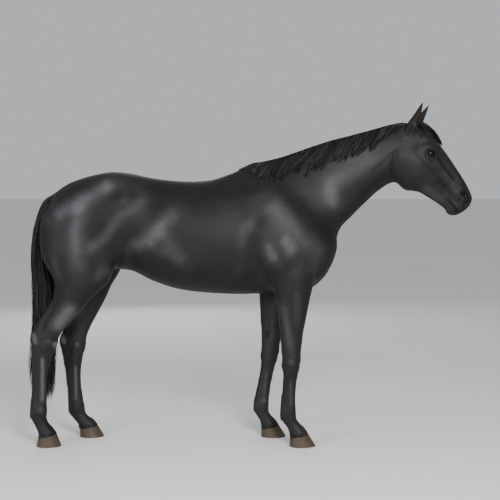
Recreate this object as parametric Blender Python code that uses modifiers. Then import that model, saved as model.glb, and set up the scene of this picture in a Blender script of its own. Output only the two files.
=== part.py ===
"""A horse of thoroughbred type, standing at rest, at life size.

Metres. +X runs towards the nose, +Y to the horse's left, +Z up, and the soles stand on z = 0.
The withers stand at 1.63 m.

Every form is a loft of rings. A ring spans two points of the side view, such as the topline and the
belly, and has a half width across it. The lofts are welded into one body, the muscles are raised and
the hollows sunk along short strokes, and the body is then parted with thin cuts into the nodes.
"""

import math

import bmesh
import bpy
import numpy as np
from mathutils import Matrix, Vector
from mathutils.bvhtree import BVHTree

# Driving sizes
STANCE = 0.13  # from the middle plane to the middle of a foot
EYE_RADIUS = 0.0245
EYE_CENTRE = Vector((1.040, 0.0785, 1.697))
CUT = 0.0005  # clear gap where one node meets the next

# How finely things are made
RING_POINTS = 28
VOXEL = 0.0078
SHRINK = 0.0015  # what smoothing takes off, put back
BODY_TRIANGLES = 4000

COAT = {"colour": (0.035, 0.035, 0.037), "roughness": 0.45}
HAIR = {"colour": (0.018, 0.017, 0.017), "roughness": 0.5}
HORN = {"colour": (0.21, 0.16, 0.115), "roughness": 0.5}
EYE = {"colour": (0.012, 0.007, 0.004), "roughness": 0.08}


# ---------------------------------------------------------------- rings


def ring(upper, lower, half, egg=0.0, square=2.0, side=0.0):
    """A section across the animal: its upper and lower point in the side view, as (x, z).

    half is half its width, egg > 0 makes the upper side the wider one, square > 2 makes it boxier,
    and side is how far its middle lies from the middle plane.
    """
    return [*upper, *lower, side, half, egg, square]


TRUNK = [
    ring((-1.195, 1.325), (-1.197, 1.225), 0.050),
    ring((-1.175, 1.400), (-1.182, 1.140), 0.105),
    ring((-1.140, 1.462), (-1.150, 1.065), 0.150, egg=0.02),
    ring((-1.080, 1.515), (-1.085, 1.020), 0.192, egg=0.05),
    ring((-1.000, 1.550), (-1.000, 1.010), 0.230, egg=0.08, square=2.1),
    ring((-0.900, 1.578), (-0.895, 1.020), 0.254, egg=0.10, square=2.15),
    ring((-0.810, 1.592), (-0.800, 1.025), 0.262, egg=0.10, square=2.15),
    ring((-0.700, 1.581), (-0.690, 1.014), 0.262, egg=0.06, square=2.2),
    ring((-0.580, 1.557), (-0.580, 0.960), 0.264, square=2.2),
    ring((-0.420, 1.538), (-0.420, 0.907), 0.281, egg=-0.04, square=2.15),
    ring((-0.250, 1.539), (-0.250, 0.885), 0.288, egg=-0.08, square=2.1),
    ring((-0.110, 1.583), (-0.110, 0.878), 0.277, egg=-0.16, square=2.0),
    ring((0.020, 1.637), (0.020, 0.878), 0.262, egg=-0.24, square=1.9),
    ring((0.150, 1.643), (0.150, 0.882), 0.247, egg=-0.26, square=1.9),
    ring((0.270, 1.582), (0.280, 0.890), 0.230, egg=-0.20, square=2.0),
    ring((0.370, 1.480), (0.385, 0.926), 0.194, egg=-0.08, square=2.05),
    ring((0.448, 1.375), (0.462, 1.014), 0.142, square=2.0),
    ring((0.496, 1.290), (0.504, 1.125), 0.080),
]

NECK = [
    ring((-0.020, 1.570), (0.400, 1.000), 0.175, egg=-0.20),
    ring((0.120, 1.640), (0.490, 1.165), 0.168, egg=-0.22),
    ring((0.280, 1.690), (0.535, 1.262), 0.135, egg=-0.24),
    ring((0.440, 1.742), (0.600, 1.338), 0.108, egg=-0.22),
    ring((0.600, 1.785), (0.680, 1.418), 0.092, egg=-0.18),
    ring((0.740, 1.822), (0.765, 1.492), 0.084, egg=-0.12),
    ring((0.850, 1.850), (0.835, 1.530), 0.082, egg=-0.05),
    ring((0.930, 1.858), (0.910, 1.545), 0.076),
]

HEAD = [
    ring((0.878, 1.852), (0.846, 1.640), 0.042),
    ring((0.915, 1.868), (0.853, 1.568), 0.068, egg=-0.05),
    ring((0.965, 1.868), (0.885, 1.508), 0.084, egg=0.00, square=2.15),
    ring((1.015, 1.842), (0.935, 1.487), 0.095, egg=0.14, square=2.3),
    ring((1.060, 1.798), (0.985, 1.480), 0.094, egg=0.24, square=2.35),
    ring((1.105, 1.745), (1.030, 1.448), 0.080, egg=0.18, square=2.3),
    ring((1.150, 1.685), (1.078, 1.414), 0.066, egg=0.10, square=2.3),
    ring((1.195, 1.621), (1.115, 1.390), 0.056, egg=0.06, square=2.3),
    ring((1.235, 1.563), (1.138, 1.366), 0.051, egg=0.06, square=2.2),
    ring((1.268, 1.510), (1.150, 1.348), 0.052, egg=0.08, square=2.2),
    ring((1.288, 1.466), (1.182, 1.338), 0.052, egg=0.10, square=2.2),
    ring((1.297, 1.425), (1.222, 1.342), 0.044, egg=0.10, square=2.2),
    ring((1.289, 1.392), (1.252, 1.358), 0.024),
]

# ---------------------------------------------------------------- legs

# Each leg's joints in its own pose, as (x, z), and how far each lies from the middle plane.
LEGS = {
    "fore_right": {
        "side": -1,
        "kind": "fore",
        "joints": [(0.300, 1.200), (0.250, 0.930), (0.237, 0.478), (0.224, 0.192), (0.289, 0.066), (0.318, 0.010)],
        "apart": [0.150, 0.158, 0.140, STANCE, STANCE, STANCE],
        "sole": (0.229, 0.383),
    },
    "fore_left": {
        "side": 1,
        "kind": "fore",
        "joints": [(0.240, 1.200), (0.160, 0.930), (0.117, 0.492), (0.070, 0.186), (0.124, 0.062), (0.150, 0.008)],
        "apart": [0.150, 0.158, 0.140, STANCE, STANCE, STANCE],
        "sole": (0.066, 0.218),
    },
    "hind_right": {
        "side": -1,
        "kind": "hind",
        "joints": [(-0.945, 1.410), (-0.972, 1.060), (-1.030, 0.880), (-1.188, 0.612), (-1.227, 0.202), (-1.174, 0.066),
                   (-1.150, 0.010)],
        "apart": [0.120, 0.158, 0.156, 0.132, STANCE, STANCE, STANCE],
        "sole": (-1.244, -1.098),
    },
    "hind_left": {
        "side": 1,
        "kind": "hind",
        "joints": [(-0.945, 1.410), (-0.950, 1.060), (-0.958, 0.880), (-1.060, 0.560), (-1.044, 0.176), (-0.970, 0.062),
                   (-0.945, 0.008)],
        "apart": [0.120, 0.158, 0.156, 0.132, STANCE, STANCE, STANCE],
        "sole": (-1.026, -0.880),
    },
}

# Thickness of a leg at a place along its joints (1.5 is halfway from the second to the third):
# place: (in front of the line, behind it, half width, egg, square)
FORE_LEG = {
    0.00: (0.100, 0.110, 0.055, 0.0, 2.0),
    0.60: (0.118, 0.142, 0.074, 0.0, 2.0),
    1.00: (0.110, 0.115, 0.074, 0.0, 2.0),
    1.25: (0.092, 0.088, 0.067, 0.05, 2.0),
    1.50: (0.073, 0.074, 0.056, 0.10, 2.0),
    1.72: (0.060, 0.062, 0.046, 0.10, 2.0),
    1.88: (0.054, 0.055, 0.044, 0.15, 2.3),
    2.00: (0.051, 0.051, 0.047, 0.20, 2.6),
    2.14: (0.043, 0.046, 0.039, 0.15, 2.4),
    2.32: (0.040, 0.042, 0.032, 0.20, 2.2),
    2.62: (0.040, 0.044, 0.030, 0.20, 2.2),
    2.86: (0.044, 0.048, 0.035, 0.10, 2.2),
    3.00: (0.046, 0.052, 0.039, 0.05, 2.2),
    3.18: (0.038, 0.048, 0.036, 0.05, 2.1),
    3.50: (0.035, 0.038, 0.034, 0.05, 2.1),
    3.80: (0.044, 0.045, 0.045, 0.05, 2.1),
    4.00: (0.050, 0.051, 0.052, 0.0, 2.1),
    4.80: (0.050, 0.051, 0.052, 0.0, 2.1),
}
HIND_LEG = {
    0.00: (0.120, 0.180, 0.050, 0.0, 2.0),
    0.30: (0.180, 0.245, 0.086, 0.0, 2.0),
    0.62: (0.200, 0.250, 0.104, 0.0, 2.1),
    1.00: (0.190, 0.222, 0.098, 0.0, 2.1),
    1.40: (0.160, 0.176, 0.086, 0.05, 2.1),
    1.75: (0.120, 0.136, 0.076, 0.10, 2.0),
    2.00: (0.103, 0.106, 0.069, 0.10, 2.0),
    2.30: (0.087, 0.083, 0.058, 0.20, 2.0),
    2.60: (0.074, 0.082, 0.048, 0.30, 2.0),
    2.84: (0.068, 0.084, 0.044, 0.35, 2.1),
    3.00: (0.068, 0.082, 0.046, 0.30, 2.3),
    3.12: (0.064, 0.072, 0.046, 0.25, 2.4),
    3.28: (0.053, 0.056, 0.039, 0.20, 2.3),
    3.48: (0.045, 0.046, 0.033, 0.20, 2.2),
    3.72: (0.044, 0.046, 0.032, 0.20, 2.2),
    3.90: (0.046, 0.050, 0.037, 0.10, 2.2),
    4.00: (0.048, 0.054, 0.040, 0.05, 2.2),
    4.16: (0.040, 0.049, 0.037, 0.05, 2.1),
    4.50: (0.035, 0.040, 0.034, 0.05, 2.1),
    4.80: (0.044, 0.046, 0.044, 0.05, 2.1),
    5.00: (0.050, 0.052, 0.050, 0.0, 2.1),
    5.80: (0.050, 0.052, 0.050, 0.0, 2.1),
}


def along(points, place):
    """The point, and the direction, at a place on the smooth line through the points."""
    points = [Vector(p) for p in points]
    index = min(int(place), len(points) - 2)
    t = place - index
    before = points[max(index - 1, 0)]
    a, b = points[index], points[index + 1]
    after = points[min(index + 2, len(points) - 1)]
    ta, tb = (b - before) / 2, (after - a) / 2
    here = (2 * t**3 - 3 * t**2 + 1) * a + (t**3 - 2 * t**2 + t) * ta
    here += (3 * t**2 - 2 * t**3) * b + (t**3 - t**2) * tb
    way = (6 * t**2 - 6 * t) * (a - b) + (3 * t**2 - 4 * t + 1) * ta + (3 * t**2 - 2 * t) * tb
    if way.length < 1e-6:
        way = b - a
    return here, way.normalized()


def leg_rings(leg):
    sizes = FORE_LEG if leg["kind"] == "fore" else HIND_LEG
    rings = []
    for place, (fore, aft, half, egg, square) in sizes.items():
        middle, way = along([(x, 0, z) for x, z in leg["joints"]], place)
        apart = along([(a, 0, 0) for a in leg["apart"]], place)[0].x
        forward = Vector((-way.z, 0, way.x))
        front, back = middle + forward * fore, middle - forward * aft
        rings.append(ring((front.x, front.z), (back.x, back.z), half, egg, square, leg["side"] * apart))
    return rings


# ---------------------------------------------------------------- mesh tools


def smooth_rows(rows, per_span):
    """More rows, on a smooth curve through the given ones."""
    rows = np.array(rows, float)
    middles = (rows[:, 0:2] + rows[:, 2:4]) / 2
    spans = np.linalg.norm(np.diff(middles, axis=0), axis=1)[:, None] + 1e-6
    slopes = np.diff(rows, axis=0) / spans
    ways = np.vstack(
        [slopes[:1], (slopes[:-1] * spans[1:] + slopes[1:] * spans[:-1]) / (spans[1:] + spans[:-1]), slopes[-1:]]
    )
    made = []
    for i in range(len(rows) - 1):
        for step in range(per_span):
            t, h = step / per_span, spans[i]
            made.append(
                (2 * t**3 - 3 * t**2 + 1) * rows[i]
                + (t**3 - 2 * t**2 + t) * h * ways[i]
                + (3 * t**2 - 2 * t**3) * rows[i + 1]
                + (t**3 - t**2) * h * ways[i + 1]
            )
    return made + [rows[-1]]


def ring_corners(row, count=RING_POINTS):
    ux, uz, lx, lz, side, half, egg, square = row
    corners = []
    for i in range(count):
        angle = math.tau * i / count
        c, s = math.cos(angle), math.sin(angle)
        up = math.copysign(abs(c) ** (2 / square), c)
        out = math.copysign(abs(s) ** (2 / square), s) * (1 + egg * up)
        mix = (1 + up) / 2
        corners.append((lx + (ux - lx) * mix, side + half * out, lz + (uz - lz) * mix))
    return corners


def bridge(bm, loops):
    """Joins each closed loop of points to the next."""
    for a, b in zip(loops, loops[1:]):
        for i in range(len(a)):
            j = (i + 1) % len(a)
            bm.faces.new((a[i], a[j], b[j], b[i]))


def loft(bm, rings, per_span=4, count=RING_POINTS):
    """Adds a closed loft through the rings."""
    loops = [[bm.verts.new(c) for c in ring_corners(row, count)] for row in smooth_rows(rings, per_span)]
    bridge(bm, loops)
    bm.faces.new(reversed(loops[0]))
    bm.faces.new(loops[-1])


def new_object(name, bm, finish, home):
    mesh = bpy.data.meshes.new(name)
    bmesh.ops.recalc_face_normals(bm, faces=bm.faces)
    bm.to_mesh(mesh)
    bm.free()
    made = bpy.data.objects.new(name, mesh)
    made.data.materials.append(finish)
    home.objects.link(made)
    return made


def baked(obj):
    """Applies the object's modifiers."""
    graph = bpy.context.evaluated_depsgraph_get()
    mesh = bpy.data.meshes.new_from_object(obj.evaluated_get(graph))
    old = obj.data
    obj.modifiers.clear()
    obj.data = mesh
    bpy.data.meshes.remove(old)
    return obj


def material(name, look):
    made = bpy.data.materials.new(name)
    made.use_nodes = True
    shader = made.node_tree.nodes["Principled BSDF"]
    shader.inputs["Base Color"].default_value = (*look["colour"], 1)
    shader.inputs["Roughness"].default_value = look["roughness"]
    made.diffuse_color = (*look["colour"], 1)
    return made


class Surface:
    """The points of a mesh as an array, with the sculpting that moves them."""

    def __init__(self, obj):
        self.mesh = obj.data
        count = len(self.mesh.vertices)
        self.points = np.empty(count * 3, np.float32)
        self.mesh.vertices.foreach_get("co", self.points)
        self.points = self.points.reshape(-1, 3).astype(float)
        self.edges = np.empty(len(self.mesh.edges) * 2, np.int32)
        self.mesh.edges.foreach_get("vertices", self.edges)
        self.edges = self.edges.reshape(-1, 2)
        self.near = np.bincount(self.edges.ravel(), minlength=count)[:, None]

    def write(self):
        self.mesh.vertices.foreach_set("co", self.points.astype(np.float32).ravel())
        self.mesh.update()

    def normals(self):
        self.write()
        found = np.empty(len(self.points) * 3, np.float32)
        self.mesh.vertices.foreach_get("normal", found)
        return found.reshape(-1, 3).astype(float)

    def around(self):
        """The mean of each point's neighbours."""
        a, b = self.edges.T
        total = np.empty_like(self.points)
        for k in range(3):
            total[:, k] = np.bincount(a, self.points[b, k], len(self.points))
            total[:, k] += np.bincount(b, self.points[a, k], len(self.points))
        return total / self.near

    def smooth(self, rounds, factor=0.5):
        for _ in range(rounds):
            self.points += (self.around() - self.points) * factor

    def fill_creases(self, rounds):
        """Moves only the hollow places outwards, so that forms flow together where they meet."""
        for _ in range(rounds):
            out = self.normals()
            lift = ((self.around() - self.points) * out).sum(axis=1)
            self.points += out * np.clip(lift, 0, None)[:, None] * 0.9

    def distance(self, path):
        """How far each point is from the line through the path, in as many axes as the path has."""
        path = np.array(path, float)
        points = self.points if path.shape[1] == 3 else self.points[:, [0, 2]]
        nearest = np.full(len(points), np.inf)
        for a, b in zip(path, path[1:]):
            line = b - a
            t = np.clip((points - a) @ line / (line @ line), 0, 1)
            nearest = np.minimum(nearest, np.linalg.norm(points - a - t[:, None] * line, axis=1))
        return nearest

    def stroke(self, path, radius, lift):
        """Raises the surface within radius of the path, or sinks it if lift < 0.

        A path of (x, z) is drawn on both flanks, and one of (x, y, z) lies where it says.
        """
        out = self.normals()
        share = np.clip(1 - (self.distance(path) / radius) ** 2, 0, None) ** 2
        if len(path[0]) == 2:
            share *= np.clip(np.abs(out[:, 1]) / 0.5, 0, 1)
        self.points += out * (share * lift)[:, None]


def block(name, size, centre, turn, home):
    """A cutting block, turned about Y by turn degrees."""
    bm = bmesh.new()
    bmesh.ops.create_cube(bm, size=1.0)
    bmesh.ops.scale(bm, vec=size, verts=bm.verts)
    place = Matrix.Translation(centre) @ Matrix.Rotation(math.radians(turn), 4, "Y")
    bmesh.ops.transform(bm, matrix=place, verts=bm.verts)
    return cutter(name, bm, home)


def ball(bm, radius, centre, segments=16):
    bmesh.ops.create_uvsphere(
        bm, u_segments=segments, v_segments=segments // 2, radius=radius, matrix=Matrix.Translation(centre)
    )


def cutter(name, bm, home):
    mesh = bpy.data.meshes.new(name)
    bm.to_mesh(mesh)
    bm.free()
    made = bpy.data.objects.new(name, mesh)
    made.hide_render = True
    made.display_type = "WIRE"
    home.objects.link(made)
    return made


def joined(obj, other, operation):
    """The object after a Boolean with the other one."""
    change = obj.modifiers.new(other.name, "BOOLEAN")
    change.operation = operation
    change.solver = "EXACT"
    change.object = other
    return baked(obj)


def copy_of(obj, name, finish, home):
    made = bpy.data.objects.new(name, obj.data.copy())
    made.data.name = name
    made.data.materials.clear()
    made.data.materials.append(finish)
    home.objects.link(made)
    return made


def swollen(obj, by, name, home):
    """A cutter: the object's shape, grown by a little on every side."""
    bm = bmesh.new()
    bm.from_mesh(obj.data)
    bm.normal_update()
    shifts = [v.normal * by * v.calc_shell_factor() for v in bm.verts]
    for v, shift in zip(bm.verts, shifts):
        v.co += shift
    return cutter(name, bm, home)


def keep_largest(obj):
    """Drops the crumbs that a cut can leave."""
    bm = bmesh.new()
    bm.from_mesh(obj.data)
    left = set(bm.verts)
    islands = []
    while left:
        todo, island = [left.pop()], []
        while todo:
            v = todo.pop()
            island.append(v)
            for e in v.link_edges:
                w = e.other_vert(v)
                if w in left:
                    left.remove(w)
                    todo.append(w)
        islands.append(island)
    islands.sort(key=len)
    bmesh.ops.delete(bm, geom=[v for island in islands[:-1] for v in island], context="VERTS")
    bm.to_mesh(obj.data)
    bm.free()


def smooth_look(obj, angle=50):
    obj.data.shade_smooth()
    obj.data.set_sharp_from_angle(angle=math.radians(angle))


# ---------------------------------------------------------------- the body


# Muscles and bones that stand out, and the hollows between them: path, radius and lift.
BODY_STROKES = {
    "hollow beside the withers": ([(-0.16, 1.53), (0.12, 1.56)], 0.09, -0.014),
    "shoulder blade": ([(0.11, 1.44), (0.36, 1.17)], 0.080, 0.013),
    "point of shoulder": ([(0.40, 1.15), (0.42, 1.17)], 0.09, 0.012),
    "triceps": ([(0.12, 1.23), (0.18, 1.08)], 0.11, 0.014),
    "girth hollow": ([(0.00, 1.25), (0.03, 1.02)], 0.10, -0.008),
    "hip point": ([(-0.72, 1.44), (-0.70, 1.44)], 0.080, 0.015),
    "flank hollow": ([(-0.60, 1.40), (-0.68, 1.22)], 0.14, -0.013),
    "haunch": ([(-0.98, 1.35), (-0.96, 1.15)], 0.18, 0.010),
    "buttock crease": ([(-1.08, 1.34), (-1.09, 1.03)], 0.05, -0.006),
    "gaskin": ([(-1.03, 0.84), (-1.08, 0.76)], 0.08, 0.006),
    "cheek": ([(0.945, 1.64), (0.960, 1.56)], 0.080, 0.009),
    "behind the cheek": ([(0.895, 1.70), (0.866, 1.60), (0.890, 1.51)], 0.024, -0.009),
    "brow": ([(1.005, 1.737), (1.050, 1.730)], 0.028, 0.008),
    "hollow above the eye": ([(0.985, 1.772), (0.992, 1.768)], 0.030, -0.008),
    "cheek bone": ([(0.955, 1.715), (1.005, 1.662), (1.075, 1.600), (1.130, 1.540)], 0.024, 0.006),
    "hollow of the cheek": ([(1.060, 1.530), (1.150, 1.445)], 0.040, -0.007),
    "side of the nose": ([(1.110, 1.660), (1.190, 1.550)], 0.028, -0.005),
    "muzzle": ([(1.235, 1.455), (1.250, 1.440)], 0.050, 0.006),
    "nostril rim": ([(1.226, 1.440), (1.236, 1.472), (1.262, 1.470), (1.268, 1.440)], 0.018, 0.006),
    "nostril": ([(1.246, 1.458), (1.250, 1.425)], 0.015, -0.016),
    "mouth": ([(1.160, 1.416), (1.185, 1.388), (1.212, 1.352)], 0.011, -0.005),
    "lower lip": ([(1.180, 1.360), (1.195, 1.360)], 0.028, 0.004),
    "underside of the jaw": ([(0.95, 0.0, 1.480), (1.09, 0.0, 1.405)], 0.030, -0.016),
}


def make_body(home, finish):
    """Trunk, neck, head and legs in one piece, as a fine mesh."""
    bm = bmesh.new()
    for rings in (TRUNK, NECK, HEAD, *[leg_rings(leg) for leg in LEGS.values()]):
        loft(bm, rings)
    body = new_object("body", bm, finish, home)
    weld = body.modifiers.new("weld", "REMESH")
    weld.mode = "VOXEL"
    weld.voxel_size = VOXEL
    baked(body)
    surface = Surface(body)
    surface.smooth(3)
    surface.fill_creases(24)
    surface.smooth(4)
    for path, radius, lift in BODY_STROKES.values():
        surface.stroke(path, radius, lift)
    surface.smooth(2)
    surface.points += surface.normals() * SHRINK
    surface.write()
    return body


def thinned(body, triangles):
    """Fewer, larger triangles, with more of them kept on the head and the feet."""
    body.data.calc_loop_triangles()
    group = body.vertex_groups.new(name="coarse")
    for v in body.data.vertices:
        weight = 0.975 if v.co.x > 0.88 else 0.985 if v.co.z < 0.25 else 1.0
        group.add([v.index], weight, "REPLACE")
    fewer = body.modifiers.new("fewer", "DECIMATE")
    fewer.ratio = triangles / len(body.data.loop_triangles)
    fewer.vertex_group = group.name
    fewer.vertex_group_factor = 1.0
    fewer.use_collapse_triangulate = True
    return baked(body)


# ---------------------------------------------------------------- nodes of flesh

# Where each leg is parted, from the foot up: place along its joints, then the cutting block's length,
# depth from front to back, and how far from the middle plane it starts.
LEG_CUTS = {
    "fore": {
        "pastern": (3.08, 0.30, 0.36, 0.012),
        "cannon": (1.80, 0.44, 0.36, 0.012),
        "forearm": (0.93, 0.50, 0.35, 0.070),
    },
    "hind": {
        "pastern": (4.08, 0.30, 0.36, 0.012),
        "cannon": (2.70, 0.54, 0.40, 0.012),
        "thigh": (1.02, 0.56, 0.58, 0.030),
    },
}
# The planes across the neck: a point in the side view, as (x, z), and the turn from upright.
HEAD_CUT = ((0.866, 1.700), -7.0)
NECK_CUT = ((0.300, 1.430), -38.0)


def taken(body, name, where, finish, homes):
    """Moves what lies in a block from the body to a node of its own."""
    size, centre, turn = where
    node = copy_of(body, name, finish, homes["parts"])
    joined(node, block(name + "_block", size, centre, turn, homes["cutters"]), "INTERSECT")
    grown = tuple(side + 2 * CUT for side in size)
    joined(body, block(name + "_gap", grown, centre, turn, homes["cutters"]), "DIFFERENCE")
    keep_largest(node)
    keep_largest(body)
    return node


def leg_block(leg, place, length, deep, inner):
    """A block that holds the leg below a place on its joints."""
    middle, way = along([(x, 0, z) for x, z in leg["joints"]], place)
    turn = 0.6 * math.atan2(-way.x, -way.z)
    down = Vector((-math.sin(turn), 0, -math.cos(turn)))
    wide = 0.36
    centre = middle + down * length / 2 + Vector((0, leg["side"] * (inner + wide / 2), 0))
    return (deep, wide, length), centre, math.degrees(turn)


def beyond(point, turn, length):
    """A block that holds all that lies ahead of a plane across the neck."""
    ahead = Vector((math.cos(math.radians(turn)), 0, -math.sin(math.radians(turn))))
    centre = Vector((point[0], 0, point[1])) + ahead * length / 2
    return (length, 0.8, 1.3), centre, turn


def part_body(body, looks, homes):
    for name, leg in LEGS.items():
        for piece, cut in LEG_CUTS[leg["kind"]].items():
            taken(body, f"{name}_{piece}", leg_block(leg, *cut), looks["coat"], homes)
    taken(body, "head", beyond(*HEAD_CUT, 0.7), looks["coat"], homes)
    taken(body, "neck", beyond(*NECK_CUT, 1.0), looks["coat"], homes)
    body.name = "trunk"


# ---------------------------------------------------------------- hooves, eyes and ears

HOOF = {"tilt": 15.0, "top_half": 0.053, "sole_half": 0.066, "bevel": 0.003}


def hoof_top(leg):
    """The coronet's front and back points, as (x, z)."""
    x, z = leg["joints"][-2]
    rise = math.tan(math.radians(HOOF["tilt"]))
    front, back = x + 0.046, x - 0.058
    return (front, z + (front - x) * rise), (back, z + (back - x) * rise)


def hoof_rings(leg):
    (fx, fz), (bx, bz) = hoof_top(leg)
    back, front = leg["sole"]
    y = leg["side"] * STANCE
    rings = []
    for t in (0.0, 0.5, 0.96, 1.0):
        inset = HOOF["bevel"] if t == 1.0 else 0.0
        half = HOOF["top_half"] + (HOOF["sole_half"] - HOOF["top_half"]) * t - inset
        upper = (fx + (front - fx) * t - inset, fz * (1 - t))
        lower = (bx + (back - bx) * t + inset, bz * (1 - t))
        rings.append(ring(upper, lower, half, egg=-0.08, square=2.15, side=y))
    return rings


def make_hooves(body, looks, homes):
    """Each hoof stands on a flat sole, and its leg ends on the coronet above it."""
    for name, leg in LEGS.items():
        bm = bmesh.new()
        loft(bm, hoof_rings(leg), per_span=1, count=20)
        new_object(name + "_hoof", bm, looks["horn"], homes["parts"])
        x, z = leg["joints"][-2]
        turn = -HOOF["tilt"]
        down = Vector((math.sin(math.radians(HOOF["tilt"])), 0, -math.cos(math.radians(HOOF["tilt"]))))
        top = Vector((x, leg["side"] * STANCE, z)) - down * CUT
        low = block(name + "_coronet", (0.3, 0.2, 0.2), top + down * 0.1, turn, homes["cutters"])
        joined(body, low, "DIFFERENCE")


def make_eyes(body, looks, homes):
    for side, sign in (("left", 1), ("right", -1)):
        centre = Vector((EYE_CENTRE.x, sign * EYE_CENTRE.y, EYE_CENTRE.z))
        bm = bmesh.new()
        ball(bm, EYE_RADIUS + CUT, centre)
        joined(body, cutter(f"socket_{side}", bm, homes["cutters"]), "DIFFERENCE")
        bm = bmesh.new()
        ball(bm, EYE_RADIUS, centre)
        new_object(f"eye_{side}", bm, looks["eye"], homes["parts"])


EARS = {
    "ear_right": {"base": (0.940, -0.050, 1.848), "tip": (0.994, -0.082, 1.992), "open": (0.80, -0.60, 0.0)},
    "ear_left": {"base": (0.962, 0.050, 1.838), "tip": (1.052, 0.078, 1.984), "open": (0.85, 0.50, 0.0)},
}
# Along an ear: place, radius, and how far round its wall goes to each side, in degrees
EAR_SHAPE = [
    (0.00, 0.024, 160),
    (0.14, 0.029, 150),
    (0.30, 0.032, 128),
    (0.48, 0.029, 116),
    (0.64, 0.024, 110),
    (0.79, 0.016, 105),
    (0.92, 0.008, 100),
    (1.00, 0.003, 95),
]
EAR_WALL = 0.006


def make_ear(name, ear, looks, homes):
    """A leaf rolled into a trumpet that opens ahead and outwards."""
    base, tip = Vector(ear["base"]), Vector(ear["tip"])
    way = (tip - base).normalized()
    ahead = Vector(ear["open"])
    ahead = (ahead - way * ahead.dot(way)).normalized()
    across = way.cross(ahead)
    steps = 8
    bm = bmesh.new()
    loops = []
    for place, radius, reach in EAR_SHAPE:
        middle = base.lerp(tip, place) - ahead * 0.010 * math.sin(math.pi * place)
        inner = max(radius - EAR_WALL, radius * 0.45)
        angles = [math.radians(reach) * (2 * k / steps - 1) for k in range(steps + 1)]
        wall = [(radius, a) for a in angles] + [(inner, a * 0.96) for a in reversed(angles)]
        loops.append(
            [bm.verts.new(middle - ahead * r * math.cos(a) + across * r * math.sin(a)) for r, a in wall]
        )
    bridge(bm, loops)
    for end in (loops[0], loops[-1]):
        for k in range(steps):
            bm.faces.new((end[k], end[k + 1], end[-2 - k], end[-1 - k]))
    return new_object(name, bm, looks["coat"], homes["parts"])


# ---------------------------------------------------------------- mane, forelock and tail

# The mane hangs on the right side. Along the crest: (x, z), how far it hangs, and how thick it is.
MANE = [
    (0.040, 1.641, 0.028, 0.004),
    (0.120, 1.650, 0.110, 0.012),
    (0.220, 1.672, 0.135, 0.016),
    (0.340, 1.708, 0.150, 0.017),
    (0.460, 1.746, 0.150, 0.018),
    (0.580, 1.777, 0.140, 0.018),
    (0.700, 1.808, 0.125, 0.018),
    (0.800, 1.833, 0.105, 0.017),
    (0.880, 1.856, 0.070, 0.014),
]
MANE_STATIONS = 20
MANE_DEPTHS = (0.12, 0.30, 0.50, 0.70, 0.88, 1.00)  # shares of how far it hangs


def make_mane(body, looks, homes):
    """A sheet of hair over the crest and down the right side of the neck."""
    skin = BVHTree.FromObject(body, bpy.context.evaluated_depsgraph_get())
    bm = bmesh.new()
    loops = []
    for i in range(MANE_STATIONS):
        place = (len(MANE) - 1) * i / (MANE_STATIONS - 1)
        here, way = along([(x, 0, z) for x, z, _, _ in MANE], place)
        hang, thick = along([(hang, thick, 0) for _, _, hang, thick in MANE], place)[0].xy
        hang *= 1 + 0.07 * math.sin(2.3 * i)
        down = Vector((way.z, 0, -way.x))

        def at(depth, out, side):
            """The point on one side of the neck, below the crest, and so far out from its surface."""
            level = here + down * depth
            hit = skin.ray_cast(level + Vector((0, side * 0.5, 0)), Vector((0, -side, 0)))[0]
            return level + Vector((0, (hit.y if hit else 0.0) + side * out, 0))

        depths = [max(hang * share, 0.016) for share in MANE_DEPTHS]
        outside = [at(0.030, 0.003, 1), at(0.012, thick * 0.5, 1)]
        outside += [here - down * thick + Vector((0, 0.005, 0)), here - down * thick * 0.6 + Vector((0, -0.016, 0))]
        outside += [at(depth, thick * (1 - 0.55 * share**2), -1) for depth, share in zip(depths, MANE_DEPTHS)]
        inside = [at(depth, -0.012, -1) for depth in reversed(depths)] + [at(0.034, -0.008, 1)]
        loops.append([bm.verts.new(p) for p in outside + inside])
    bridge(bm, loops)
    bm.faces.new(loops[0])
    bm.faces.new(loops[-1])
    return new_object("mane", bm, looks["hair"], homes["parts"])


FORELOCK = [
    ring((0.932, 1.880), (0.926, 1.850), 0.012),
    ring((0.978, 1.878), (0.966, 1.842), 0.016),
    ring((1.020, 1.857), (1.000, 1.820), 0.032),
    ring((1.066, 1.805), (1.042, 1.775), 0.034),
    ring((1.100, 1.760), (1.080, 1.735), 0.024),
    ring((1.120, 1.731), (1.103, 1.712), 0.008),
]

# The tail, dock and hair together, from its root to its tip: hinder point, fore point, half width.
TAIL = [
    ring((-1.120, 1.490), (-1.105, 1.440), 0.022),
    ring((-1.172, 1.456), (-1.145, 1.400), 0.034),
    ring((-1.208, 1.422), (-1.162, 1.360), 0.042),
    ring((-1.240, 1.352), (-1.178, 1.300), 0.050),
    ring((-1.263, 1.275), (-1.188, 1.240), 0.056),
    ring((-1.278, 1.170), (-1.190, 1.150), 0.062),
    ring((-1.281, 1.030), (-1.172, 1.020), 0.066),
    ring((-1.276, 0.900), (-1.152, 0.900), 0.068),
    ring((-1.281, 0.750), (-1.146, 0.750), 0.068),
    ring((-1.286, 0.600), (-1.146, 0.600), 0.066),
    ring((-1.293, 0.460), (-1.148, 0.460), 0.062),
    ring((-1.297, 0.360), (-1.152, 0.350), 0.056),
    ring((-1.290, 0.280), (-1.166, 0.270), 0.042),
    ring((-1.262, 0.222), (-1.198, 0.218), 0.020),
]


def make_hair(name, rings, looks, homes):
    bm = bmesh.new()
    loft(bm, rings, per_span=2, count=12)
    return new_object(name, bm, looks["hair"], homes["parts"])


# ---------------------------------------------------------------- the whole animal


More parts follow.
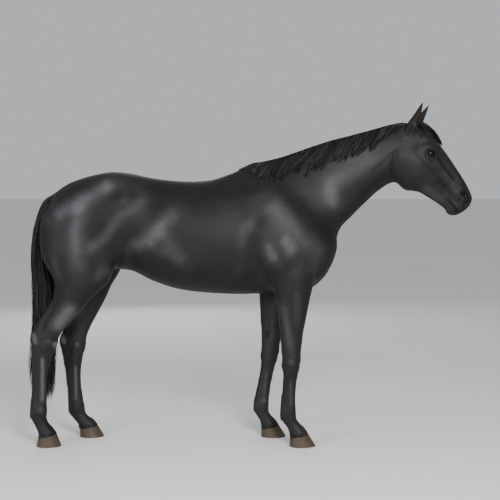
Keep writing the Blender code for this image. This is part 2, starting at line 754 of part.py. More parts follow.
def main():
    for obj in list(bpy.data.objects):
        bpy.data.objects.remove(obj)
    homes = {"parts": bpy.data.collections.new("horse"), "cutters": bpy.data.collections.new("cutters")}
    for home in homes.values():
        bpy.context.scene.collection.children.link(home)
    looks = {
        "coat": material("coat", COAT),
        "hair": material("hair", HAIR),
        "horn": material("horn", HORN),
        "eye": material("eye", EYE),
    }
    body = thinned(make_body(homes["parts"], looks["coat"]), BODY_TRIANGLES)
    shape = swollen(body, CUT, "body_shape", homes["cutters"])
    grown_on = [make_ear(name, ear, looks, homes) for name, ear in EARS.items()]
    grown_on.append(make_mane(body, looks, homes))
    grown_on.append(make_hair("forelock", FORELOCK, looks, homes))
    grown_on.append(make_hair("tail", TAIL, looks, homes))
    for piece in grown_on:
        keep_largest(joined(piece, shape, "DIFFERENCE"))
    make_hooves(body, looks, homes)
    make_eyes(body, looks, homes)
    part_body(body, looks, homes)
    for obj in homes["parts"].objects:
        smooth_look(obj)


main()
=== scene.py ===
import math

import bmesh
import bpy
import numpy as np
from mathutils import Matrix, Vector
from mathutils.bvhtree import BVHTree


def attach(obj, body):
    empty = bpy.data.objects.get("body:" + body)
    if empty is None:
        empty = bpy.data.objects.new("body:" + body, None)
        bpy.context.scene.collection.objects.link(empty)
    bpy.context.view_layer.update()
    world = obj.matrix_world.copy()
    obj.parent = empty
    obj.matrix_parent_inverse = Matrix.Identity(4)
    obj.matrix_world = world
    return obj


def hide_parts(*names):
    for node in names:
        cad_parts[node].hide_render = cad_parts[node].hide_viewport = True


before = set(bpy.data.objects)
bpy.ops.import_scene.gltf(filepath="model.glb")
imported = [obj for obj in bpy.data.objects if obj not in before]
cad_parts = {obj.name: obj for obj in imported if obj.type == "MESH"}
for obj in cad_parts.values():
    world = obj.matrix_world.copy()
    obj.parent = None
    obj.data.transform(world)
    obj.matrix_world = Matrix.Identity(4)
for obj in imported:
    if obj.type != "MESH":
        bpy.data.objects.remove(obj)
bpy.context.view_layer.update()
scene = bpy.context.scene
legNames = ("fore_right", "fore_left", "hind_right", "hind_left")
print("frame loaded:", len(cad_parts), "nodes")

# Camera, floor and light

view = {"place": (0.0, -7.0, 1.60), "aim": (0.0, 0.0, 1.134), "lens": 86.03, "sensor": 36.0}
stage = {
    "floorHalf": 60.0, "floorTones": [(0.3, (0.76, 0.75, 0.73)), (0.7, (0.80, 0.79, 0.77))], "floorRoughness": 0.85,
    "skyColour": (0.86, 0.89, 0.93, 1), "skyPower": 0.62,
}
lamps = {  # place, aim, size, power in watts, colour
    "keyLamp": ((1.2, -5.6, 3.6), (0.1, 0.0, 1.2), 2.4, 440.0, (1.0, 0.985, 0.96)),
    "fillLamp": ((-4.0, -4.5, 2.0), (-0.3, 0.0, 1.0), 2.4, 170.0, (0.93, 0.96, 1.0)),
    "rimLamp": ((-1.2, 6.6, 2.8), (0.0, 0.0, 1.2), 3.6, 85.0, (1.0, 1.0, 1.0)),
}


def aimAt(obj, place, aim):
    way = Vector(aim) - Vector(place)
    obj.location = place
    obj.rotation_euler = way.to_track_quat("-Z", "Y").to_euler()


def makeStage():
    optics = bpy.data.cameras.new("camera")
    optics.lens = view["lens"]
    optics.sensor_width = view["sensor"]
    camera = bpy.data.objects.new("camera", optics)
    aimAt(camera, view["place"], view["aim"])
    scene.collection.objects.link(camera)
    scene.camera = camera
    for name, (place, aim, size, power, colour) in lamps.items():
        lamp = bpy.data.lights.new(name, "AREA")
        lamp.shape = "DISK"
        lamp.size = size
        lamp.energy = power
        lamp.color = colour
        stand = bpy.data.objects.new(name, lamp)
        aimAt(stand, place, aim)
        scene.collection.objects.link(stand)
    world = bpy.data.worlds.new("studio")
    world.use_nodes = True
    sky = world.node_tree.nodes["Background"]
    sky.inputs["Color"].default_value = stage["skyColour"]
    sky.inputs["Strength"].default_value = stage["skyPower"]
    scene.world = world
    bm = bmesh.new()
    bmesh.ops.create_grid(bm, x_segments=4, y_segments=4, size=stage["floorHalf"])
    floor = newPiece("floor", bm, plainFloor())


# Shader nodes


def startMaterial(name):
    made = bpy.data.materials.new(name)
    made.use_nodes = True
    tree = made.node_tree
    return made, tree, tree.nodes["Principled BSDF"]


def feed(tree, node, inputs):  # each input is given a number, a colour or a socket to link from
    for key, value in inputs.items():
        if isinstance(value, bpy.types.NodeSocket):
            tree.links.new(value, node.inputs[key])
        else:
            node.inputs[key].default_value = value


def addNode(tree, kind, inputs=None, **settings):
    node = tree.nodes.new("ShaderNode" + kind)
    for key, value in settings.items():
        setattr(node, key, value)
    feed(tree, node, inputs or {})
    return node


def noise(tree, place, scale, detail):
    return addNode(tree, "TexNoise", {"Vector": place, "Scale": scale, "Detail": detail}).outputs["Fac"]


def layerOf(tree, name, kind="Fac"):  # what the mesh holds under that name
    return addNode(tree, "Attribute", attribute_name=name).outputs[kind]


def mixed(tree, kind, a, b):
    return addNode(tree, "Math", {0: a, 1: b}, operation=kind).outputs[0]


def scaled(tree, place, size):
    return addNode(tree, "Mapping", {"Vector": place, "Scale": size}).outputs["Vector"]


def ramp(tree, factor, stops):
    node = addNode(tree, "ValToRGB", {"Fac": factor})
    marks = node.color_ramp.elements
    for mark, (place, colour) in zip(marks, (stops[0], stops[-1])):
        mark.position = place
        mark.color = (*colour, 1)
    for place, colour in stops[1:-1]:
        mark = marks.new(place)
        mark.color = (*colour, 1)
    return node.outputs["Color"]


def plainFloor():
    made, tree, shader = startMaterial("pale_floor")
    worn = noise(tree, addNode(tree, "TexCoord").outputs["Object"], 0.6, 3.0)
    feed(tree, shader, {"Base Color": ramp(tree, worn, stage["floorTones"]), "Roughness": stage["floorRoughness"]})
    return made


# Mesh helpers


def newPiece(name, bm, finish):
    mesh = bpy.data.meshes.new(name)
    bm.to_mesh(mesh)
    bm.free()
    made = bpy.data.objects.new(name, mesh)
    made.data.materials.append(finish)
    scene.collection.objects.link(made)
    return made


def setLayer(mesh, name, values):  # one number or one vector for each point
    values = np.asarray(values, np.float32)
    vector = values.ndim == 2
    layer = mesh.attributes.new(name, "FLOAT_VECTOR" if vector else "FLOAT", "POINT")
    layer.data.foreach_set("vector" if vector else "value", values.ravel())


def getLayer(mesh, name):
    values = np.empty(len(mesh.vertices), np.float32)
    mesh.attributes[name].data.foreach_get("value", values)
    return values


def applied(obj):
    graph = bpy.context.evaluated_depsgraph_get()
    mesh = bpy.data.meshes.new_from_object(obj.evaluated_get(graph))
    old = obj.data
    obj.modifiers.clear()
    obj.data = mesh
    bpy.data.meshes.remove(old)
    mesh.name = obj.name


def between(t, a, b, wayA, wayB, span=1.0):  # on a smooth line from a to b
    here = (2 * t**3 - 3 * t**2 + 1) * a + (t**3 - 2 * t**2 + t) * span * wayA
    return here + ((3 * t**2 - 2 * t**3) * b + (t**3 - t**2) * span * wayB)


def along(points, place):  # the point and the direction at a place on the smooth line through the points
    points = [Vector(p) for p in points]
    place = float(place)
    index = min(int(place), len(points) - 2)
    t = place - index
    before = points[max(index - 1, 0)]
    a, b = points[index], points[index + 1]
    after = points[min(index + 2, len(points) - 1)]
    ta, tb = (b - before) / 2, (after - a) / 2
    way = (6 * t**2 - 6 * t) * (a - b) + (3 * t**2 - 4 * t + 1) * ta + (3 * t**2 - 2 * t) * tb
    if way.length < 1e-6:
        way = b - a
    return between(t, a, b, ta, tb), way.normalized()


# A section of the body: its upper and lower point in the side view and its half width.
# It is wider above where egg > 0, and boxier where square > 2.
def ring(upper, lower, half, egg=0.0, square=2.0, side=0.0):
    return [*upper, *lower, side, half, egg, square]


def smoothRows(rows, perSpan):
    rows = np.array(rows, float)
    middles = (rows[:, 0:2] + rows[:, 2:4]) / 2
    spans = np.linalg.norm(np.diff(middles, axis=0), axis=1)[:, None] + 1e-6
    slopes = np.diff(rows, axis=0) / spans
    inner = (slopes[:-1] * spans[1:] + slopes[1:] * spans[:-1]) / (spans[1:] + spans[:-1])
    ways = np.vstack([slopes[:1], inner, slopes[-1:]])
    made = []
    for i in range(len(rows) - 1):
        for step in range(perSpan):
            made.append(between(step / perSpan, rows[i], rows[i + 1], ways[i], ways[i + 1], spans[i]))
    return made + [rows[-1]]


def ringCorner(row, angle, reach=1.0):
    ux, uz, lx, lz, side, half, egg, square = row
    c, s = math.cos(angle), math.sin(angle)
    up = math.copysign(abs(c) ** (2 / square), c) * reach
    out = math.copysign(abs(s) ** (2 / square), s) * (1 + egg * up) * reach
    mix = (1 + up) / 2
    return Vector((lx + (ux - lx) * mix, side + half * out, lz + (uz - lz) * mix))


def drawLoft(bm, rows, count, perSpan):  # a closed loft, drawn out of its first ring by extruding its cap
    loops = [[ringCorner(row, math.tau * i / count) for i in range(count)] for row in smoothRows(rows, perSpan)]
    start = len(bm.faces)
    bmesh.ops.create_circle(bm, cap_ends=True, segments=count, radius=1.0)
    bm.faces.ensure_lookup_table()
    cap = bm.faces[start]
    for corner, loop in zip(loops[0], cap.loops):
        loop.vert.co = corner
    for turn, corners in enumerate(loops[1:]):
        below = cap
        drawn = bmesh.ops.extrude_face_region(bm, geom=[cap])["geom"]
        cap = next(g for g in drawn if isinstance(g, bmesh.types.BMFace))
        for corner, loop in zip(corners, cap.loops):
            loop.vert.co = corner
        if turn:
            bmesh.ops.delete(bm, geom=[below], context="FACES_ONLY")


# The skin

trunk = [
    ring((-1.195, 1.325), (-1.197, 1.225), 0.050),
    ring((-1.175, 1.400), (-1.182, 1.140), 0.105),
    ring((-1.140, 1.462), (-1.150, 1.065), 0.150, egg=0.02),
    ring((-1.080, 1.515), (-1.085, 1.020), 0.192, egg=0.05),
    ring((-1.000, 1.550), (-1.000, 1.010), 0.230, egg=0.08, square=2.1),
    ring((-0.900, 1.578), (-0.895, 1.020), 0.254, egg=0.10, square=2.15),
    ring((-0.810, 1.592), (-0.800, 1.025), 0.262, egg=0.10, square=2.15),
    ring((-0.700, 1.581), (-0.690, 1.014), 0.262, egg=0.06, square=2.2),
    ring((-0.580, 1.557), (-0.580, 0.960), 0.264, square=2.2),
    ring((-0.420, 1.538), (-0.420, 0.907), 0.281, egg=-0.04, square=2.15),
    ring((-0.250, 1.539), (-0.250, 0.885), 0.288, egg=-0.08, square=2.1),
    ring((-0.110, 1.583), (-0.110, 0.878), 0.277, egg=-0.16, square=2.0),
    ring((0.020, 1.637), (0.020, 0.878), 0.262, egg=-0.24, square=1.9),
    ring((0.150, 1.643), (0.150, 0.882), 0.247, egg=-0.26, square=1.9),
    ring((0.270, 1.582), (0.280, 0.890), 0.230, egg=-0.20, square=2.0),
    ring((0.370, 1.480), (0.385, 0.926), 0.194, egg=-0.08, square=2.05),
    ring((0.448, 1.375), (0.462, 1.014), 0.142, square=2.0),
    ring((0.496, 1.290), (0.504, 1.125), 0.080),
]
neck = [
    ring((-0.020, 1.570), (0.400, 1.000), 0.175, egg=-0.20),
    ring((0.120, 1.640), (0.490, 1.165), 0.168, egg=-0.22),
    ring((0.280, 1.690), (0.535, 1.262), 0.135, egg=-0.24),
    ring((0.440, 1.742), (0.600, 1.338), 0.108, egg=-0.22),
    ring((0.600, 1.785), (0.680, 1.418), 0.092, egg=-0.18),
    ring((0.740, 1.822), (0.765, 1.492), 0.084, egg=-0.12),
    ring((0.850, 1.850), (0.835, 1.530), 0.082, egg=-0.05),
    ring((0.930, 1.858), (0.910, 1.545), 0.076),
]
head = [
    ring((0.878, 1.852), (0.846, 1.640), 0.042),
    ring((0.915, 1.868), (0.853, 1.568), 0.068, egg=-0.05),
    ring((0.965, 1.868), (0.880, 1.500), 0.084, egg=0.00, square=2.15),
    ring((1.017, 1.845), (0.931, 1.475), 0.095, egg=0.14, square=2.3),
    ring((1.064, 1.802), (0.984, 1.468), 0.094, egg=0.24, square=2.35),
    ring((1.111, 1.750), (1.029, 1.440), 0.080, egg=0.18, square=2.3),
    ring((1.157, 1.690), (1.077, 1.410), 0.066, egg=0.10, square=2.3),
    ring((1.202, 1.626), (1.114, 1.387), 0.056, egg=0.06, square=2.3),
    ring((1.242, 1.567), (1.137, 1.364), 0.051, egg=0.06, square=2.2),
    ring((1.274, 1.513), (1.150, 1.345), 0.052, egg=0.08, square=2.2),
    ring((1.294, 1.468), (1.182, 1.335), 0.052, egg=0.10, square=2.2),
    ring((1.302, 1.425), (1.223, 1.340), 0.044, egg=0.10, square=2.2),
    ring((1.289, 1.392), (1.252, 1.358), 0.024),
]
dock = [
    ring((-1.080, 1.480), (-1.080, 1.420), 0.030),
    ring((-1.160, 1.455), (-1.140, 1.400), 0.032),
    ring((-1.196, 1.415), (-1.166, 1.372), 0.030),
    ring((-1.222, 1.340), (-1.192, 1.318), 0.026),
    ring((-1.240, 1.240), (-1.212, 1.228), 0.020),
    ring((-1.246, 1.130), (-1.226, 1.126), 0.012),
]
stance = 0.13  # from the middle plane to the middle of a foot
legs = {  # joints in the side view, how far each is from the middle plane, and the hoof's sole, back to front
    "fore_right": {
        "side": -1,
        "joints": [(0.300, 1.200), (0.250, 0.930), (0.237, 0.478), (0.224, 0.192), (0.289, 0.066), (0.318, 0.010)],
        "apart": [0.150, 0.158, 0.140, stance, stance, stance],
        "sole": (0.229, 0.383),
    },
    "fore_left": {
        "side": 1,
        "joints": [(0.240, 1.200), (0.160, 0.930), (0.117, 0.492), (0.070, 0.186), (0.124, 0.062), (0.150, 0.008)],
        "apart": [0.150, 0.158, 0.140, stance, stance, stance],
        "sole": (0.066, 0.218),
    },
    "hind_right": {
        "side": -1,
        "joints": [(-0.945, 1.410), (-0.972, 1.060), (-1.030, 0.880), (-1.188, 0.612), (-1.227, 0.202), (-1.174, 0.066),
                   (-1.150, 0.010)],
        "apart": [0.120, 0.158, 0.156, 0.132, stance, stance, stance],
        "sole": (-1.244, -1.098),
    },
    "hind_left": {
        "side": 1,
        "joints": [(-0.945, 1.410), (-0.950, 1.060), (-0.958, 0.880), (-1.060, 0.560), (-1.044, 0.176), (-0.970, 0.062),
                   (-0.945, 0.008)],
        "apart": [0.120, 0.158, 0.156, 0.132, stance, stance, stance],
        "sole": (-1.026, -0.880),
    },
}
legSizes = {  # place along the joints: in front of the line, behind it, half width, egg, square
    "fore": {
        0.00: (0.100, 0.110, 0.055, 0.0, 2.0),
        0.60: (0.118, 0.142, 0.074, 0.0, 2.0),
        1.00: (0.110, 0.115, 0.074, 0.0, 2.0),
        1.25: (0.092, 0.088, 0.067, 0.05, 2.0),
        1.50: (0.073, 0.074, 0.056, 0.10, 2.0),
        1.72: (0.060, 0.062, 0.046, 0.10, 2.0),
        1.88: (0.054, 0.055, 0.044, 0.15, 2.3),
        2.00: (0.051, 0.051, 0.047, 0.20, 2.6),
        2.14: (0.043, 0.046, 0.039, 0.15, 2.4),
        2.32: (0.040, 0.042, 0.032, 0.20, 2.2),
        2.62: (0.040, 0.044, 0.030, 0.20, 2.2),
        2.86: (0.044, 0.048, 0.035, 0.10, 2.2),
        3.00: (0.046, 0.052, 0.039, 0.05, 2.2),
        3.18: (0.038, 0.048, 0.036, 0.05, 2.1),
        3.50: (0.038, 0.041, 0.036, 0.05, 2.1),
        3.80: (0.0430, 0.0490, 0.0465, 0.05, 2.1),
        4.00: (0.0475, 0.0585, 0.0530, 0.0, 2.1),
        4.80: (0.040, 0.046, 0.044, 0.0, 2.1),
    },
    "hind": {
        0.00: (0.120, 0.180, 0.050, 0.0, 2.0),
        0.30: (0.180, 0.245, 0.086, 0.0, 2.0),
        0.62: (0.200, 0.250, 0.104, 0.0, 2.1),
        1.00: (0.190, 0.222, 0.098, 0.0, 2.1),
        1.40: (0.160, 0.176, 0.086, 0.05, 2.1),
        1.75: (0.120, 0.136, 0.076, 0.10, 2.0),
        2.00: (0.103, 0.106, 0.069, 0.10, 2.0),
        2.30: (0.087, 0.083, 0.058, 0.20, 2.0),
        2.60: (0.074, 0.082, 0.048, 0.30, 2.0),
        2.84: (0.068, 0.084, 0.044, 0.35, 2.1),
        3.00: (0.068, 0.082, 0.046, 0.30, 2.3),
        3.12: (0.064, 0.072, 0.046, 0.25, 2.4),
        3.28: (0.053, 0.056, 0.039, 0.20, 2.3),
        3.48: (0.045, 0.046, 0.033, 0.20, 2.2),
        3.72: (0.044, 0.046, 0.032, 0.20, 2.2),
        3.90: (0.046, 0.050, 0.037, 0.10, 2.2),
        4.00: (0.048, 0.054, 0.040, 0.05, 2.2),
        4.16: (0.040, 0.049, 0.037, 0.05, 2.1),
        4.50: (0.038, 0.043, 0.036, 0.05, 2.1),
        4.80: (0.0430, 0.0490, 0.0465, 0.05, 2.1),
        5.00: (0.0475, 0.0585, 0.0530, 0.0, 2.1),
        5.80: (0.040, 0.046, 0.043, 0.0, 2.1),
    },
}
skin = {
    "ringPoints": 32,
    "voxel": 0.0130,
    "coatDepth": 0.0020,
    "lift": {"body": 0.0030, "head": 0.0, "legs": 0.0044},  # makes up for what smoothing takes away
    "coarse": {  # forms of the whole body: path, radius, lift
        "hollow beside the withers": ([(-0.18, 1.52), (0.12, 1.56)], 0.09, -0.015),
        "shoulder blade": ([(0.09, 1.48), (0.22, 1.33), (0.36, 1.17)], 0.125, 0.013),
        "ridge of the blade": ([(0.13, 1.50), (0.33, 1.23)], 0.050, 0.003),
        "behind the blade": ([(-0.02, 1.46), (0.02, 1.34)], 0.080, -0.007),
        "point of shoulder": ([(0.40, 1.15), (0.42, 1.17)], 0.09, 0.012),
        "triceps": ([(0.12, 1.25), (0.17, 1.09)], 0.12, 0.015),
        "under the triceps": ([(0.20, 1.04), (0.30, 1.06)], 0.050, -0.005),
        "girth hollow": ([(0.00, 1.25), (0.03, 1.02)], 0.10, -0.009),
        "hip point": ([(-0.72, 1.44), (-0.70, 1.44)], 0.085, 0.014),
        "from the hip to the thigh": ([(-0.74, 1.42), (-0.80, 1.22)], 0.07, 0.006),
        "flank hollow": ([(-0.60, 1.40), (-0.67, 1.22)], 0.13, -0.014),
        "haunch": ([(-0.98, 1.38), (-0.96, 1.15)], 0.17, 0.011),
        "thigh groove": ([(-1.05, 1.36), (-1.055, 1.20), (-1.03, 1.04)], 0.045, -0.006),
        "ham": ([(-1.12, 1.32), (-1.12, 1.10)], 0.050, 0.004),
        "gaskin": ([(-1.03, 0.86), (-1.08, 0.76)], 0.08, 0.007),
        "cheek": ([(0.900, 1.66), (0.915, 1.58), (0.950, 1.55)], 0.085, 0.010),
        "front of the shoulder": ([(0.30, 1.50), (0.42, 1.32), (0.45, 1.20)], 0.070, -0.007),
        "groove of the neck": ([(0.84, 1.57), (0.66, 1.44), (0.53, 1.33), (0.47, 1.22)], 0.045, -0.006),
        "underline of the neck": ([(0.80, 1.52), (0.62, 1.38), (0.54, 1.30)], 0.040, 0.004),
        "muscle of the neck": ([(0.42, 1.50), (0.62, 1.58), (0.78, 1.68)], 0.090, 0.005),
        "crest of the neck": ([(0.25, 1.62), (0.50, 1.70), (0.78, 1.78)], 0.060, 0.004),
        "breastbone": ([(0.56, 0.0, 1.30), (0.505, 0.0, 1.20), (0.49, 0.0, 1.12), (0.46, 0.0, 1.02),
            (0.40, 0.0, 0.93)], 0.038, -0.020),
        "breast": ([(0.505, 0.072, 1.21), (0.492, 0.076, 1.12), (0.455, 0.076, 1.03)], 0.062, 0.008),
        "between breast and arm": ([(0.462, 0.148, 1.25), (0.452, 0.150, 1.16), (0.415, 0.148, 1.06),
            (0.35, 0.145, 0.97)], 0.036, -0.012),
        "spine of the loin": ([(-0.25, 0.0, 1.54), (-0.75, 0.0, 1.60)], 0.030, 0.004),
        "croup groove": ([(-0.84, 0.0, 1.60), (-1.10, 0.0, 1.50)], 0.040, -0.007),
        "stifle": ([(-0.80, 1.03), (-0.83, 0.97)], 0.075, 0.010),
        "under the stifle": ([(-0.86, 0.93), (-0.92, 0.86)], 0.050, -0.004),
        "fold of the flank": ([(-0.715, 1.16), (-0.735, 1.03)], 0.032, 0.007),
        "before the fold": ([(-0.660, 1.15), (-0.672, 1.02)], 0.038, -0.007),
        "elbow": ([(0.075, 1.03), (0.105, 0.98)], 0.045, 0.007),
        "behind the elbow": ([(0.030, 1.06), (0.060, 0.97)], 0.035, -0.007),
        "edge of the ribs": ([(-0.20, 1.02), (-0.48, 1.10), (-0.58, 1.22)], 0.060, 0.003),
        "belly seam": ([(0.00, 0.0, 0.88), (-0.50, 0.0, 0.93)], 0.030, 0.003),
    },
    "medium": {  # forms of the head, once its mesh is finer
        "behind the cheek": ([(0.848, 1.705), (0.834, 1.665), (0.825, 1.600), (0.836, 1.548),
            (0.860, 1.514)], 0.024, -0.007),
        "brow": ([(0.996, 1.728), (1.018, 1.737), (1.050, 1.730), (1.070, 1.708)], 0.030, 0.0055),
        "hollow above the eye": ([(0.970, 1.768), (1.000, 1.768)], 0.044, -0.003),
        "temple": ([(0.950, 1.800), (0.985, 1.810)], 0.050, 0.002),
        "cheek bone": ([(0.950, 1.722), (1.000, 1.668), (1.075, 1.600), (1.150, 1.520)], 0.026, 0.007),
        "behind the eye": ([(0.965, 1.725), (1.005, 1.700)], 0.030, 0.002),
        "under the cheek bone": ([(1.000, 1.625), (1.085, 1.550), (1.150, 1.480)], 0.026, -0.005),
        "hollow of the cheek": ([(1.060, 1.530), (1.150, 1.445)], 0.040, -0.007),
        "side of the nose": ([(1.085, 1.690), (1.145, 1.610), (1.205, 1.535)], 0.030, -0.006),
        "nose bone": ([(1.095, 1.720), (1.160, 1.640), (1.245, 1.520)], 0.020, 0.003),
        "line of the nose": ([(1.095, 1.668), (1.140, 1.600), (1.192, 1.540)], 0.011, -0.003),
        "line under the cheek bone": ([(1.088, 1.548), (1.130, 1.500), (1.178, 1.442)], 0.011, -0.003),
        "edge of the jaw": ([(0.890, 1.545), (0.915, 1.508), (0.960, 1.486), (1.010, 1.474),
            (1.100, 1.415)], 0.020, 0.004),
        "muzzle": ([(1.225, 1.465), (1.250, 1.435)], 0.055, 0.007),
        "nostril rim": ([(1.218, 1.430), (1.216, 1.460), (1.232, 1.486), (1.256, 1.488), (1.276, 1.462),
            (1.280, 1.430)], 0.018, 0.005),
        "upper lip": ([(1.200, 1.402), (1.240, 1.372)], 0.028, 0.004),
        "lower lip": ([(1.172, 1.372), (1.205, 1.350)], 0.022, 0.004),
        "chin": ([(1.160, 0.0, 1.345), (1.178, 0.0, 1.340)], 0.030, 0.003),
        "behind the chin": ([(1.125, 0.0, 1.375), (1.135, 0.0, 1.362)], 0.026, -0.005),
        "underside of the jaw": ([(0.95, 0.0, 1.468), (1.09, 0.0, 1.400)], 0.034, -0.014),
        "throat": ([(0.716, 1.607), (0.790, 1.665), (0.855, 1.722)], 0.016, -0.003),
        "throat below": ([(0.640, 1.450), (0.720, 1.520), (0.804, 1.577)], 0.016, -0.003),
    },
    "fine": {  # the smallest folds
        "nostril": ([(1.226, 1.458), (1.236, 1.474), (1.254, 1.470), (1.264, 1.448), (1.260, 1.416),
            (1.244, 1.390)], 0.0130, -0.009),
        "depth of the nostril": ([(1.240, 1.466), (1.255, 1.458), (1.259, 1.440), (1.254, 1.412)], 0.0125, -0.012),
        "nostril wing": ([(1.226, 1.440), (1.236, 1.432), (1.238, 1.412)], 0.014, 0.002),
        "fold over the nostril": ([(1.205, 1.498), (1.222, 1.492)], 0.012, -0.002),
        "mouth in front": ([(1.212, 0.040, 1.352), (1.234, 0.030, 1.343), (1.250, 0.014, 1.345),
            (1.254, 0.001, 1.347)], 0.0095, -0.004),
        "mouth": ([(1.156, 1.422), (1.164, 1.410), (1.182, 1.388), (1.214, 1.350), (1.228, 1.338)], 0.0092, -0.0062),
        "upper lip edge": ([(1.172, 1.420), (1.194, 1.398), (1.230, 1.356)], 0.013, 0.0016),
        "lower lip edge": ([(1.154, 1.396), (1.174, 1.374), (1.200, 1.344)], 0.013, 0.0014),
        "corner of the mouth": ([(1.144, 1.436), (1.154, 1.426)], 0.012, -0.0015),
        "face vein": ([(1.060, 1.622), (1.100, 1.570), (1.116, 1.525), (1.128, 1.495)], 0.006, 0.0016),
        "second face vein": ([(1.100, 1.570), (1.150, 1.535), (1.195, 1.505)], 0.0055, 0.0013),
        "third face vein": ([(1.116, 1.525), (1.140, 1.500), (1.165, 1.470)], 0.005, 0.0012),
    },
}


def legKind(name):
    return name.split("_")[0]


def legPoint(name, place, ahead=0.0, out=0.0):  # a point beside a leg's line, out > 0 on the outer side
    leg = legs[name]
    middle, way = along([(x, 0, z) for x, z in leg["joints"]], place)
    apart = along([(a, 0, 0) for a in leg["apart"]], place)[0].x
    point = middle + Vector((-way.z, 0, way.x)) * ahead
    point.y = leg["side"] * (apart + out)
    return point


def legRings(name):
    rings = []
    for place, (fore, aft, half, egg, square) in legSizes[legKind(name)].items():
        front, back = legPoint(name, place, fore), legPoint(name, place, -aft)
        rings.append(ring((front.x, front.z), (back.x, back.z), half, egg, square, front.y))
    return rings


class Clay:  # the points of a mesh as an array, and the strokes that move them

    def __init__(self, obj):
        self.mesh = obj.data
        count = len(self.mesh.vertices)
        self.points = np.empty(count * 3, np.float32)
        self.mesh.vertices.foreach_get("co", self.points)
        self.points = self.points.reshape(-1, 3).astype(float)
        self.edges = np.empty(len(self.mesh.edges) * 2, np.int32)
        self.mesh.edges.foreach_get("vertices", self.edges)
        self.edges = self.edges.reshape(-1, 2)
        self.near = np.maximum(np.bincount(self.edges.ravel(), minlength=count), 1)[:, None]

    def write(self):
        self.mesh.vertices.foreach_set("co", self.points.astype(np.float32).ravel())
        self.mesh.update()

    def normals(self):
        self.write()
        found = np.empty(len(self.points) * 3, np.float32)
        self.mesh.vertices.foreach_get("normal", found)
        return found.reshape(-1, 3).astype(float)

    def around(self):  # the mean of each point's neighbours
        a, b = self.edges.T
        total = np.empty_like(self.points)
        for k in range(3):
            total[:, k] = np.bincount(a, self.points[b, k], len(self.points))
            total[:, k] += np.bincount(b, self.points[a, k], len(self.points))
        return total / self.near

    def smooth(self, rounds, factor=0.5, share=1.0):
        weight = factor * (share[:, None] if isinstance(share, np.ndarray) else share)
        for _ in range(rounds):
            self.points += (self.around() - self.points) * weight

    def fillCreases(self, rounds):  # only the hollow places move out, so that forms flow together
        for _ in range(rounds):
            out = self.normals()
            lift = ((self.around() - self.points) * out).sum(axis=1)
            self.points += out * np.clip(lift, 0, None)[:, None] * 0.9

    def nearest(self, path):  # how far each point is from a path, how far along it, and the path's length
        path = np.array(path, float)
        points = self.points if path.shape[1] == 3 else self.points[:, [0, 2]]
        lengths = np.linalg.norm(np.diff(path, axis=0), axis=1)
        least, place = np.full(len(points), np.inf), np.zeros(len(points))
        for k, (a, b) in enumerate(zip(path, path[1:])):
            line = b - a
            t = np.clip((points - a) @ line / max(line @ line, 1e-12), 0, 1)
            away = np.linalg.norm(points - a - t[:, None] * line, axis=1)
            place = np.where(away < least, lengths[:k].sum() + t * lengths[k], place)
            least = np.minimum(least, away)
        return least, place, lengths.sum()

    def share(self, path, radius, out):  # 1 on the path, 0 a radius away, and softer towards its ends
        least, place, whole = self.nearest(path)
        share = np.clip(1 - (least / radius) ** 2, 0, None) ** 2
        if whole > 1.6 * radius:
            soft = np.clip(np.minimum(place, whole - place) / (0.8 * radius), 0, 1)
            share *= 0.30 + 0.70 * soft * soft * (3 - 2 * soft)
        if len(path[0]) == 2:
            share *= np.clip(np.abs(out[:, 1]) / 0.5, 0, 1)
        return share

    def stroke(self, path, radius, lift):  # a path of (x, z) is drawn on both flanks, one of (x, y, z) in space
        out = self.normals()
        self.points += out * (self.share(path, radius, out) * lift)[:, None]

    def strokes(self, marks):  # one drawn in space on the left side is drawn on the right side too
        for path, radius, lift in marks:
            self.stroke(path, radius, lift)
            if len(path[0]) == 3 and path[0][1] > 0:
                self.stroke([(x, -y, z) for x, y, z in path], radius, lift)


def refine(obj, inside):  # splits the faces where inside(points) holds into four
    clay = Clay(obj)
    chosen = inside(clay.points)
    bm = bmesh.new()
    bm.from_mesh(obj.data)
    bm.verts.ensure_lookup_table()
    edges = [e for e in bm.edges if chosen[e.verts[0].index] and chosen[e.verts[1].index]]
    bmesh.ops.subdivide_edges(bm, edges=edges, cuts=1, use_grid_fill=True)
    bm.to_mesh(obj.data)
    bm.free()
    finer = Clay(obj)
    finer.smooth(1, 0.5, inside(finer.points).astype(float))
    finer.write()


